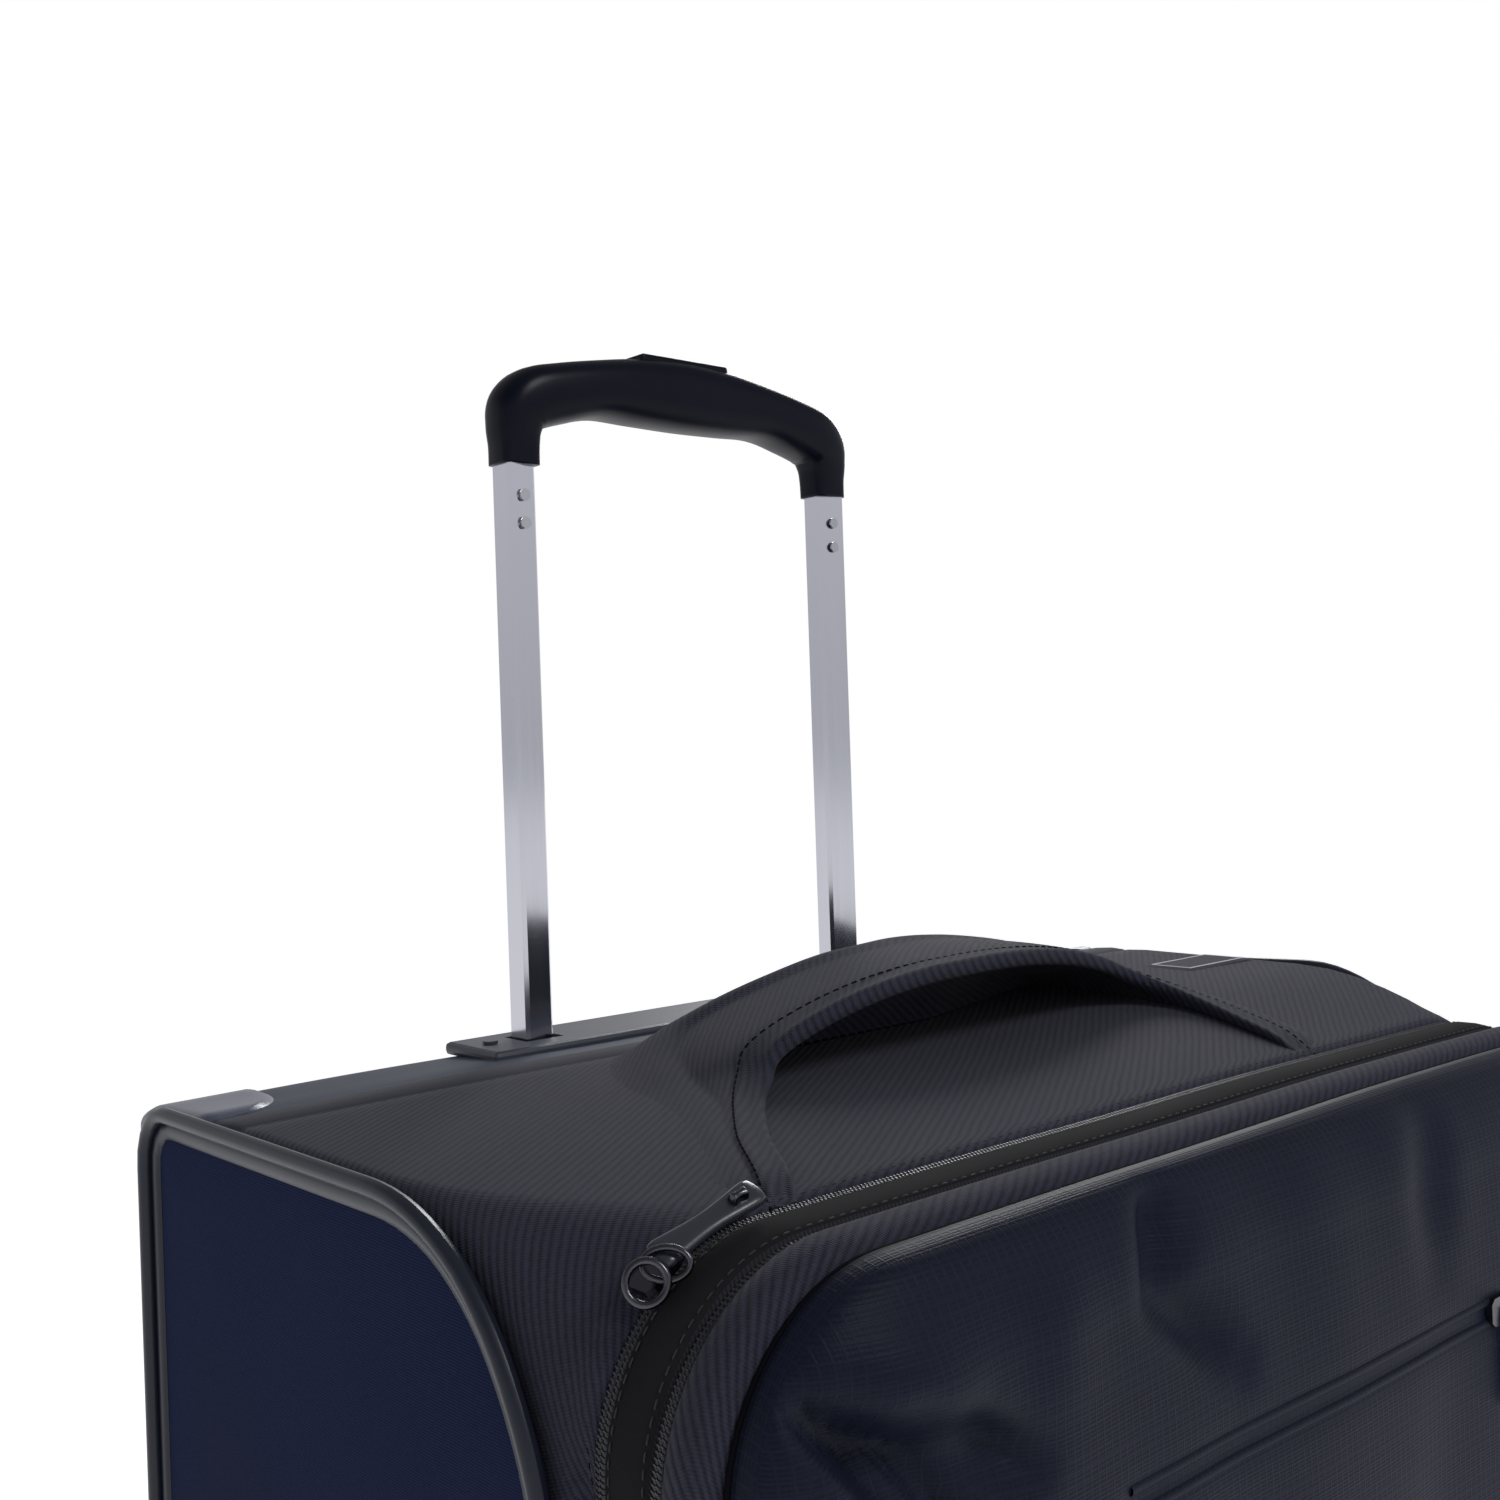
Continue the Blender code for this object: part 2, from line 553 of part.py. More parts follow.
# ---- lid, pocket and zippers --------------------------------------------------------------
def make_lid(hinge):
    """The lid and its pocket are two shallow trays, both open towards the back."""
    outer = [skin_ring(y, inset, radius) for y, inset, radius in reversed(LID_STATIONS)]
    inner = [skin_ring(y, inset, radius, -LID_WALL) for y, inset, radius in LID_STATIONS[:-1]]
    at = (LID_HINGE_X, RIM_Y, 0.40)
    loft("lid_shell", outer + inner, TWILL, hinge, origin=at)
    plate("lid_board", 0.212, 0.082, 0.722, 0.045, -0.1464, -0.1484, BOARD, hinge)
    outer = [skin_ring(y, inset, radius) for y, inset, radius in reversed(POCKET_STATIONS)]
    inner = [skin_ring(y + back, inset, radius, -LID_WALL) for (y, inset, radius), back in
             zip(POCKET_STATIONS, (0.0, 0.0, 0.0002, 0.0028, LID_WALL))]
    loft("front_pocket", outer + inner, TWILL, hinge, origin=at)


def zip_path(y, out, closed):
    """The zipper's way round the top, the left side and the bottom; the hinge side is free."""
    inset, radius = skin_at(y)
    ring = skin_ring(y, inset, radius, out)
    if closed:
        return ring
    quarter = CORNER_STEPS + 1
    path = ring[quarter:3 * quarter]
    end_x = HALF_WIDTH - 0.060
    return [(end_x, y, path[0][2])] + path + [(end_x, y, path[-1][2])]


def make_zippers(hinge):
    for name, y, parent in (("main_zip_coil_shell", RIM_Y + 0.0030, None),
                            ("main_zip_coil_lid", RIM_Y - 0.0036, hinge)):
        path = zip_path(y, COIL_RADIUS + 0.0006, False)
        rod(name, path, COIL_RADIUS, (0, 1, 0), COIL, parent, sides=6)
    rod("expander_zip_coil", zip_path(-0.1400, COIL_RADIUS + 0.0008, True), COIL_RADIUS,
        (0, 1, 0), COIL, hinge, closed=True, sides=6)


def make_slider(name, centre, along, out, parent, look=GUNMETAL):
    """Slider plate riding above the coils: `along` is its travel, `out` its outward side."""
    a = Vector(along)
    n = Vector(out)
    w = a.cross(n)
    bm = bmesh.new()
    rings = []
    for step, half_w in ((-0.0065, 0.0030), (-0.0045, 0.0046), (0.0040, 0.0046), (0.0065, 0.0036)):
        ring = []
        for side, lift in ((-1, 0.0), (1, 0.0), (1, 0.0022), (-1, 0.0022)):
            ring.append(Vector(centre) + a * step + w * half_w * side + n * lift)
        rings.append(ring)
    return add_object(name, bridge(bm, rings), look, parent, centre)


def make_puller(name, pivot, along, out, length, parent, look=GUNMETAL):
    """Flat tab with a rounded tip, pivoting at one end and lying against the fabric."""
    a = Vector(along)
    n = Vector(out)
    w = a.cross(n)
    rings = []
    for step, half_w in ((0.0, 0.0022), (0.0040, 0.0034), (0.0080, 0.0036), (length * 0.7, 0.0042),
                         (length * 0.95, 0.0036), (length, 0.0020)):
        ring = []
        for side, lift in ((-1, -0.0007), (1, -0.0007), (1, 0.0007), (-1, 0.0007)):
            ring.append(Vector(pivot) + a * step + w * half_w * side + n * lift)
        rings.append(ring)
    return loft(name, rings, look, parent, origin=pivot)


def make_pulls(hinge):
    """Sliders: the main pair (corner and left side) and the pocket's one, each with its tab."""
    turn = math.radians(124)
    reach = 0.004
    radius = 0.050
    cx = -HALF_WIDTH + reach + radius
    cz = SHELL_TOP - reach - radius
    out = (math.cos(turn), 0, math.sin(turn))
    along = (math.sin(turn), 0, -math.cos(turn))
    lift = radius + 0.0060
    at = (cx + out[0] * lift, RIM_Y - 0.0003, cz + out[2] * lift)
    make_slider("zip_slider_corner", at, along, out, None)
    pivot = tuple(at[k] + out[k] * 0.0065 + along[k] * 0.002 for k in range(3))
    corner_axis = axis_empty("corner_pull_axis", pivot)
    tilt = math.radians(11)
    make_puller("zip_pull_corner", pivot, (math.cos(tilt), 0, math.sin(tilt)),
                (-math.sin(tilt), 0, math.cos(tilt)), 0.040, corner_axis)
    side_at = (-HALF_WIDTH - 0.0022, RIM_Y - 0.0003, 0.300)
    side_axis = axis_empty("side_slider_axis", side_at)
    make_slider("zip_slider_side", side_at, (0, 0, 1), (-1, 0, 0), side_axis)
    side_pivot = (side_at[0] - 0.0034, side_at[1], side_at[2] - 0.004)
    side_pull_axis = axis_empty("side_pull_axis", side_pivot)
    make_puller("zip_pull_side", side_pivot, (0, 0, -1), (-1, 0, 0), 0.036, side_pull_axis)
    pocket_at = (0.090, POCKET_FRONT_Y - 0.0012, 0.667)
    pocket_axis = axis_empty("pocket_slider_axis", pocket_at)
    make_slider("pocket_slider", pocket_at, (1, 0, 0), (0, -1, 0), pocket_axis)
    pocket_pivot = (pocket_at[0] + 0.004, pocket_at[1] - 0.0034, pocket_at[2])
    pocket_pull_axis = axis_empty("pocket_pull_axis", pocket_pivot)
    make_puller("pocket_pull", pocket_pivot, (0, 0, -1), (0, -1, 0), 0.032, pocket_pull_axis)


def main():
    handle = axis_empty("handle_axis", (0, TUBE_Y, SOCKET_Z))
    release = axis_empty("release_axis", (0, TUBE_Y, SOCKET_Z))
    hinge = axis_empty("lid_axis", (LID_HINGE_X, RIM_Y, 0.40))
    make_shell()
    make_shell_trim()
    make_frame_rods()
    for side, word in ((-1, "left"), (1, "right")):
        make_wheel(side, word)
    make_feet()
    make_bezel()
    make_tubes(handle)
    make_grip(handle, release)
    make_top_handle()
    make_side_handle()
    make_lid(hinge)
    make_zippers(hinge)
    make_pulls(hinge)


main()
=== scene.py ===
import math

import bpy
from mathutils import Matrix, Vector, noise


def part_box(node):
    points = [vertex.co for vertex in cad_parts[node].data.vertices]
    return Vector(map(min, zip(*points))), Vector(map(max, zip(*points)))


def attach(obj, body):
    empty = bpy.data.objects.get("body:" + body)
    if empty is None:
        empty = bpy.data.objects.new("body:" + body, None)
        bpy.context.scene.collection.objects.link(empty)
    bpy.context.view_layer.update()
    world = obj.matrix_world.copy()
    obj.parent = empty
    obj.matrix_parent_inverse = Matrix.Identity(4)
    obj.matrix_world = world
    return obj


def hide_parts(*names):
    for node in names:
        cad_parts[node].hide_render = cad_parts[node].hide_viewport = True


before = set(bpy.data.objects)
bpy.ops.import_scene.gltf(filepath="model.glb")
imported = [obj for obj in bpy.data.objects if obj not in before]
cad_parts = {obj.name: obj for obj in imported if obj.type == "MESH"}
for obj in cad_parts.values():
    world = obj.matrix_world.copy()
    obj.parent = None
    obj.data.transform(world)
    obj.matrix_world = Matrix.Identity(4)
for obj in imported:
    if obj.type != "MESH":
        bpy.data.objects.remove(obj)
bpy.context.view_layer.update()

# -------------------------------- places taken from the CAD
SHELL_LOW, SHELL_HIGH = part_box("main_shell")
CENTRE_X = (SHELL_LOW.x + SHELL_HIGH.x) / 2
BACK = SHELL_HIGH.y
HALF = (SHELL_HIGH.x - SHELL_LOW.x) / 2
TOP = SHELL_HIGH.z
FLOOR_OF_BODY = SHELL_LOW.z
MIDDLE_Z = (TOP + FLOOR_OF_BODY) / 2

# Lengths are in metres unless a comment says millimetres. The body's own x is measured from its mid plane,
# and its own y from a plane this far in front of its back.
REAR = 0.140

LEFTWARD = Vector((-1, 0, 0))
FORWARD = Vector((0, -1, 0))
BACKWARD = Vector((0, 1, 0))
UPWARD = Vector((0, 0, 1))
SIDES = (("left", -1), ("right", 1))


def at(x, y, z):
    """A point in the shared frame from the body's own x and y, and the real height."""
    return Vector((CENTRE_X + x, BACK - REAR + y, z))


# -------------------------------- colours and node materials
def srgb(r, g, b):
    """A colour given from 0 to 255, as the renderer's linear one."""
    def channel(c):
        c /= 255
        return c / 12.92 if c < 0.04 else ((c + 0.055) / 1.055) ** 2.4
    return (channel(r), channel(g), channel(b), 1.0)


class Nodes:
    """A material and short ways to add nodes to it."""

    def __init__(self, name):
        self.material = bpy.data.materials.new(name)
        self.material.use_nodes = True
        self.tree = self.material.node_tree
        self.shader = self.tree.nodes["Principled BSDF"]

    def add(self, kind, inputs=None, **settings):
        made = self.tree.nodes.new("ShaderNode" + kind)
        for key, value in settings.items():
            setattr(made, key, value)
        for key, value in (inputs or {}).items():
            self.join(made.inputs[key], value)
        return made

    def join(self, socket, value):
        if isinstance(value, bpy.types.NodeSocket):
            self.tree.links.new(value, socket)
        else:
            socket.default_value = value

    def math(self, operation, a, b=0.0):
        return self.add("Math", {0: a, 1: b}, operation=operation).outputs[0]

    def vary(self, value, amount):
        """How far a value from 0 to 1 lies from its middle, times an amount."""
        return self.math("MULTIPLY", self.math("SUBTRACT", value, 0.5), amount)

    def wave(self, value, pitch):
        """A rounded wave from 0 to 1 that repeats every pitch metres."""
        sine = self.math("SINE", self.math("MULTIPLY", value, 2 * math.pi / pitch))
        return self.math("ADD", self.math("MULTIPLY", sine, 0.5), 0.5)

    def noise(self, scale, detail, source=None):
        source = source or self.add("TexCoord").outputs["Object"]
        return self.add("TexNoise", {"Scale": scale, "Detail": detail, "Vector": source}).outputs["Fac"]

    def mix(self, factor, a, b):
        return self.add("Mix", {0: factor, 6: a, 7: b}, data_type="RGBA").outputs[2]

    def set(self, **values):
        for key, value in values.items():
            self.join(self.shader.inputs[key.replace("_", " ")], value)

    def bump(self, height, distance, strength=1.0):
        made = self.add("Bump", {"Height": height, "Distance": distance, "Strength": strength})
        self.join(self.shader.inputs["Normal"], made.outputs[0])


THREAD_WANDER = 0.0009
WEAR_SCALE = 9.0
FLECK_SCALE = 900.0


def woven(name, dark, light, pitch, angle, cross, depth, rough=0.85, sheen=0.05, squares=0.0, gloss=0.2):
    """Cloth with ribs every pitch metres at an angle to its UV's u, and finer threads across them.

    Squares is the pitch of a ripstop's thicker threads, or 0 for a cloth that has none.
    """
    n = Nodes(name)
    uv = n.add("UVMap").outputs[0]
    turned = n.add("Mapping", {"Vector": uv, "Rotation": (0, 0, math.radians(angle))})
    u, v, _ = n.add("SeparateXYZ", {0: turned.outputs[0]}).outputs
    along = n.math("ADD", v, n.vary(n.noise(60.0, 2.0), THREAD_WANDER))
    rib = n.math("POWER", n.wave(along, pitch), 0.7)
    thread = n.wave(u, cross)
    height = n.math("ADD", n.math("MULTIPLY", rib, 0.75), n.math("MULTIPLY", thread, 0.25))
    if squares:
        lines = [n.math("POWER", n.wave(way, squares), 9.0) for way in (u, v)]
        thick = n.math("MULTIPLY", n.math("MAXIMUM", *lines), 0.75)
        height = n.math("MAXIMUM", n.math("MULTIPLY", height, 0.6), thick)
    wear = n.noise(WEAR_SCALE, 4.0)
    fleck = n.noise(FLECK_SCALE, 1.0)
    # The colour follows the weave's height, so the grooves between ribs and threads are painted shade, darker
    # than their tops, and a ripstop's raised thick threads come out lighter; the wear and fleck noise add
    # random tone on top.
    shade = n.math("ADD", height, n.vary(wear, 0.9))
    shade = n.math("ADD", shade, n.vary(fleck, 0.7))
    shade = n.add("Clamp", {0: shade}).outputs[0]
    n.set(Base_Color=n.mix(shade, srgb(*dark), srgb(*light)))
    n.set(Roughness=n.math("ADD", rough - 0.06, n.math("MULTIPLY", wear, 0.12)))
    n.set(Sheen_Weight=sheen, Sheen_Roughness=0.5, Specular_IOR_Level=gloss)
    n.bump(height, depth)
    return n.material


def coated(name, dark, light, rough, grain=1400.0, depth=0.00008, specular=0.4):
    """Smooth coated cloth or moulded plastic with a fine grain and uneven gloss."""
    n = Nodes(name)
    cloud = n.noise(14.0, 4.0)
    fine = n.noise(grain, 2.0)
    shade = n.math("ADD", n.math("MULTIPLY", cloud, 0.7), n.math("MULTIPLY", fine, 0.3))
    n.set(Base_Color=n.mix(shade, srgb(*dark), srgb(*light)))
    n.set(Roughness=n.math("ADD", rough - 0.08, n.math("MULTIPLY", cloud, 0.16)))
    n.set(Specular_IOR_Level=specular)
    n.bump(fine, depth)
    return n.material


def metal(name, tint, rough, stretch=(1.0, 1.0, 0.02)):
    """Metal with fine marks drawn out along one direction."""
    n = Nodes(name)
    place_on = n.add("TexCoord").outputs["Object"]
    drawn = n.add("Mapping", {"Vector": place_on, "Scale": stretch}).outputs[0]
    marks = n.noise(500.0, 3.0, drawn)
    n.set(Base_Color=srgb(*tint), Metallic=1.0)
    n.set(Roughness=n.math("ADD", rough - 0.03, n.math("MULTIPLY", marks, 0.08)))
    n.bump(marks, 0.00001, 0.4)
    return n.material


TWILL = woven("twill_cloth", (20, 20, 31), (44, 44, 60), 0.0027, -36, 0.0007, 0.00035)
STRIP = woven("strip_cloth", (28, 29, 38), (44, 45, 56), 0.0009, 0, 0.0009, 0.00010)
SIDE_CLOTH = woven("navy_cloth", (16, 21, 43), (29, 36, 64), 0.0008, 0, 0.0008, 0.00008, sheen=0.0,
                   gloss=0.04)
RIPSTOP = woven("ripstop_cloth", (14, 17, 29), (22, 26, 42), 0.0011, 0, 0.0011, 0.00012, rough=0.5, sheen=0.0,
                squares=0.0031, gloss=0.07)
LINING = woven("lining_cloth", (38, 40, 46), (58, 60, 68), 0.0006, 45, 0.0006, 0.00006, rough=0.6)
TAPE = woven("zip_tape", (16, 16, 22), (36, 37, 44), 0.0014, 90, 0.0007, 0.00018)
COATED = coated("coated_cloth", (42, 48, 62), (56, 63, 80), 0.58, specular=0.25)
OLIVE = coated("gusset_cloth", (24, 24, 26), (34, 33, 35), 0.80, specular=0.04)
PIPING = coated("piping_skin", (18, 21, 31), (29, 33, 46), 0.34, 600.0, 0.00002, 0.30)
PLASTIC = coated("moulded_plastic", (24, 25, 28), (36, 37, 42), 0.45, 900.0)
GUARD = coated("guard_plastic", (60, 64, 82), (78, 83, 100), 0.35, 900.0)
BEZEL = coated("bezel_plastic", (44, 47, 58), (58, 62, 74), 0.42, 900.0)
GRIP = coated("grip_plastic", (3, 5, 14), (8, 11, 25), 0.34, 500.0, 0.00001, 0.10)
PULL = coated("pull_lacquer", (30, 31, 40), (48, 49, 60), 0.30, 500.0, 0.00002, 0.5)
RUBBER = coated("tyre_rubber", (24, 24, 25), (38, 38, 39), 0.7, 700.0)
BOARD = coated("board_sheet", (52, 46, 40), (70, 62, 54), 0.8)
# Nearly black thread for the stitches; the same colour also makes the cord along the pocket's seam, which is
# painted shade.
THREAD_AND_SEAM_SHADE = coated("thread_and_seam_shade", (8, 8, 12), (16, 16, 22), 0.8, specular=0.03)
GUSSET_THREAD = coated("gusset_thread", (30, 30, 33), (42, 42, 45), 0.7)
COIL = coated("zip_coil_nylon", (28, 28, 34), (54, 55, 62), 0.4)
LABEL_CLOTH = woven("label_cloth", (16, 17, 26), (30, 31, 44), 0.0005, 0, 0.0005, 0.00005)
LABEL_THREAD = coated("label_thread", (190, 191, 200), (220, 220, 228), 0.7)
ALUMINIUM = metal("drawn_aluminium", (192, 193, 201), 0.14)
STEEL = metal("wheel_steel", (170, 172, 176), 0.3, (1, 1, 1))
GUNMETAL = metal("gunmetal_plate", (74, 74, 80), 0.24, (1, 1, 1))


# -------------------------------- meshes from lines and rows of points
def place(obj, body, replaces=()):
    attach(obj, body)
    if replaces:
        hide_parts(*replaces)
    return obj


def mesh_piece(name, points, faces, materials, uvs=None, indices=None, smooth=True):
    mesh = bpy.data.meshes.new(name)
    mesh.from_pydata([tuple(p) for p in points], [], faces)
    if uvs:
        layer = mesh.uv_layers.new(name="UVMap")
        for corner in mesh.loops:
            layer.data[corner.index].uv = uvs[corner.vertex_index]
    for material in materials:
        mesh.materials.append(material)
    for polygon in mesh.polygons:
        polygon.use_smooth = smooth
        if indices:
            polygon.material_index = indices[polygon.index]
    mesh.update()
    obj = bpy.data.objects.new(name, mesh)
    bpy.context.collection.objects.link(obj)
    return obj


def lengths_along(line):
    """How far along a line each of its points is."""
    length = [0.0]
    for a, b in zip(line, line[1:]):
        length.append(length[-1] + (b - a).length)
    return length


def grid(name, rows, materials, choose=None, cap_first=False, cap_last=False):
    """A surface through rows of points; u runs along a row from its middle, v from row to row.

    choose(row, centre) gives a face's material, or None for no face there. A cap has the last material.
    """
    count = len(rows[0])
    points = [p for row in rows for p in row]
    uvs = []
    depth = 0.0
    for r, row in enumerate(rows):
        if r:
            depth += sum((a - b).length for a, b in zip(row, rows[r - 1])) / count
        length = lengths_along(row)
        uvs += [(d - length[count // 2], depth) for d in length]
    faces = []
    indices = []
    for r in range(len(rows) - 1):
        for c in range(count - 1):
            a = r * count + c
            cloth = choose(r, (points[a] + points[a + count + 1]) / 2) if choose else 0
            if cloth is not None:
                faces.append((a, a + 1, a + count + 1, a + count))
                indices.append(cloth)
    if cap_first:
        faces.append(tuple(range(count - 2, -1, -1)))
        indices.append(len(materials) - 1)
    if cap_last:
        start = (len(rows) - 1) * count
        faces.append(tuple(range(start, start + count - 1)))
        indices.append(len(materials) - 1)
    return mesh_piece(name, points, faces, materials, uvs, indices)


def lay_flat(piece, pattern, front_and_back_only=False):
    """Takes a piece's UV from pattern(point), so that its weave isn't bent by its rows."""
    layer = piece.data.uv_layers[0].data
    for polygon in piece.data.polygons:
        if front_and_back_only and abs(polygon.normal.y) <= 0.5:
            continue
        for index in polygon.loop_indices:
            layer[index].uv = pattern(piece.data.vertices[piece.data.loops[index].vertex_index].co)


def resample(points, step, closed=False):
    """Points every step metres along a line."""
    line = list(points) + ([points[0]] if closed else [])
    length = lengths_along(line)
    count = max(2, round(length[-1] / step))
    out = []
    i = 0
    for k in range(count if closed else count + 1):
        want = length[-1] * k / count
        while i < len(line) - 2 and length[i + 1] < want:
            i += 1
        span = max(length[i + 1] - length[i], 1e-9)
        out.append(line[i].lerp(line[i + 1], min(1.0, (want - length[i]) / span)))
    return out


def smooth_line(points, steps):
    """A Catmull-Rom curve through the points, which are vectors of any length."""
    out = []
    for i in range(len(points) - 1):
        p0, p1 = points[max(i - 1, 0)], points[i]
        p2, p3 = points[i + 1], points[min(i + 2, len(points) - 1)]
        for k in range(steps):
            t = k / steps
            out.append(0.5 * (2 * p1 + (p2 - p0) * t + (2 * p0 - 5 * p1 + 4 * p2 - p3) * t * t
                              + (3 * p1 - p0 - 3 * p2 + p3) * t * t * t))
    out.append(points[-1].copy())
    return out


def travel(line, outward, closed):
    """Each point of a line with its tangent, side and up. Outward, the rough up, can depend on the point."""
    count = len(line)
    for i, point in enumerate(line):
        before = line[i - 1] if (i or closed) else point
        after = line[(i + 1) % count] if (i + 1 < count or closed) else point
        tangent = (after - before).normalized()
        up = outward(point) if callable(outward) else outward
        up = (up - tangent * up.dot(tangent)).normalized()
        yield point, tangent, tangent.cross(up), up


def sweep(name, line, section, outward, material, closed=False):
    """Carries a section, a list of (side, up), along a line."""
    rows = [[point + side * a + up * b for a, b in section]
            for point, _, side, up in travel(line, outward, closed)]
    if closed:
        rows.append([p.copy() for p in rows[0]])
    return grid(name, rows, [material])


BLOCK = ((-0.5, -0.5, 0), (-0.5, 0.5, 0), (0.5, 0.5, 0), (0.5, -0.5, 0),
         (-0.3, -0.3, 1), (-0.3, 0.3, 1), (0.3, 0.3, 1), (0.3, -0.3, 1))
BLOCK_FACES = ((4, 5, 6, 7), (0, 1, 5, 4), (1, 2, 6, 5), (2, 3, 7, 6), (3, 0, 4, 7))


def beads(name, line, outward, size, space, material, closed=False, spin=0.0):
    """Small tapered blocks along a line: stitches or zip teeth. Size is (along, across, high)."""
    points = []
    faces = []
    for point, tangent, side, up in travel(resample(line, size[0] + space, closed), outward, closed):
        along = tangent * math.cos(spin) + side * math.sin(spin)
        across = side * math.cos(spin) - tangent * math.sin(spin)
        start = len(points)
        points += [point + along * a * size[0] + across * b * size[1] + up * c * size[2] for a, b, c in BLOCK]
        faces += [tuple(start + k for k in face) for face in BLOCK_FACES]
    return mesh_piece(name, points, faces, [material], smooth=False)


def stitches(name, line, outward, size, space, body="case", material=THREAD_AND_SEAM_SHADE, closed=False):
    return place(beads(name, line, outward, size, space, material, closed), body)


def turns(steps):
    """The cosine and sine of each step of a whole turn, its first step repeated at the end."""
    return [(math.cos(2 * math.pi * k / steps), math.sin(2 * math.pi * k / steps)) for k in range(steps + 1)]


def circle(radius, sides):
    return [(radius * c, radius * s) for c, s in turns(sides)]


def squared(value, power):
    """A cosine or sine pushed outwards, which makes a round section more like a square."""
    return math.copysign(abs(value) ** power, value)


def tab(name, start, end, wide, thick, up, material):
    """A flat bar with rounded ends, slightly waisted, from start to end."""
    along = (end - start).normalized()
    across = along.cross(up).normalized()
    lift = across.cross(along)
    rows = []
    for k in range(21):
        t = k / 20
        ends = min(1.0, math.sqrt(max(0.0, 1 - (abs(2 * t - 1)) ** 14)) + 0.02)
        waist = 0.86 + 0.14 * math.cos(2 * math.pi * t)
        rows.append([start.lerp(end, t) + across * (squared(c, 0.6) * wide * ends * waist)
                     + lift * squared(s, 0.7) * thick * ends for c, s in turns(16)])
    return grid(name, rows, [material], cap_first=True, cap_last=True)


def wire_ring(name, centre, normal, radius, wire, stretch=1.0):
    """A ring of wire round a normal, stretched level."""
    normal = normal.normalized()
    level = normal.cross(UPWARD).normalized()
    steep = level.cross(normal)
    line = [centre + level * radius * stretch * math.cos(math.radians(15 * k))
            + steep * radius * math.sin(math.radians(15 * k)) for k in range(24)]
    return sweep(name, line, circle(wire, 10), normal, GUNMETAL, True)


# -------------------------------- the padded case's outlines
CORNER_STEPS = 14
BOTTOM_STEPS = 14
UPRIGHT_STEPS = 30
TOP_STEPS = 56


def loop_xz(half, low, high, radius):
    """A rounded rectangle in x and z from the bottom's middle, by the right side, top and left side."""
    out = [(half * k / BOTTOM_STEPS * (1 - radius / half), low) for k in range(BOTTOM_STEPS)]
    arcs = []
    for x, z, start in ((half - radius, low + radius, -90), (half - radius, high - radius, 0),
                        (radius - half, high - radius, 90), (radius - half, low + radius, 180)):
        angles = [math.radians(start + 90 * k / CORNER_STEPS) for k in range(CORNER_STEPS + 1)]
        arcs.append([(x + radius * math.cos(angle), z + radius * math.sin(angle)) for angle in angles])
    out += arcs[0]
    for before, after, steps in zip(arcs, arcs[1:], (UPRIGHT_STEPS, TOP_STEPS, UPRIGHT_STEPS)):
        (x0, z0), (x1, z1) = before[-1], after[0]
        out += [(x0 + (x1 - x0) * k / steps, z0 + (z1 - z0) * k / steps) for k in range(1, steps)]
        out += after
    last_x = out[-1][0]
    return out + [(last_x * (1 - k / BOTTOM_STEPS), low) for k in range(1, BOTTOM_STEPS + 1)]


def ease(t):
    t = min(1.0, max(0.0, t))
    return t * t * (3 - 2 * t)


def fuller(x, y):
    """The padded top stands higher towards the right, between its back edge and the zip."""
    return 0.0066 * ease((x - 0.02) / 0.17) * ease((y + 0.122) / 0.085) * ease((0.128 - y) / 0.050)


def crown(x, y, z):
    """How far the padded top stands above the CAD's flat one."""
    high = ease((z - (TOP - 0.030)) / 0.028)
    ripple = noise.noise(Vector((x * 9, y * 9, 3.1))) * 0.0009
    return high * (0.0012 * (1 - (x / HALF) ** 2) + ripple + fuller(x, y))


def gap(x, y, z):
    """The deep fold beside the main zip, on the upright legs only."""
    side_on = ease((abs(x) - HALF + 0.050) / 0.045) * ease((TOP - 0.030 - z) / 0.060)
    return 0.0080 * side_on * math.exp(-((y + 0.1160) / 0.0030) ** 2)


def ring(y, inset, rise, radius):
    """One rounded outline of the padded body at a distance y, inset all round and raised on top."""
    return [at(x - math.copysign(gap(x, y, z), x), y, z + crown(x, y, z))
            for x, z in loop_xz(HALF - inset, FLOOR_OF_BODY + inset, TOP + rise, radius)]


def loop_line(y, inset, rise, radius=0.050):
    """An even closed line round the case, for a cord, a zip or stitches."""
    return resample(ring(y, inset, rise, radius)[:-1], 0.004, True)


def away(point, corner=0.055):
    """The direction straight out of the case's edge at a point near its outline."""
    x = point.x - CENTRE_X
    z = point.z - MIDDLE_Z
    dx = max(0.0, abs(x) - (HALF - corner))
    dz = max(0.0, abs(z) - ((TOP - FLOOR_OF_BODY) / 2 - corner))
    if dx + dz < 1e-6:
        dz = 1.0
    return Vector((math.copysign(dx, x), 0.0, math.copysign(dz, z))).normalized()


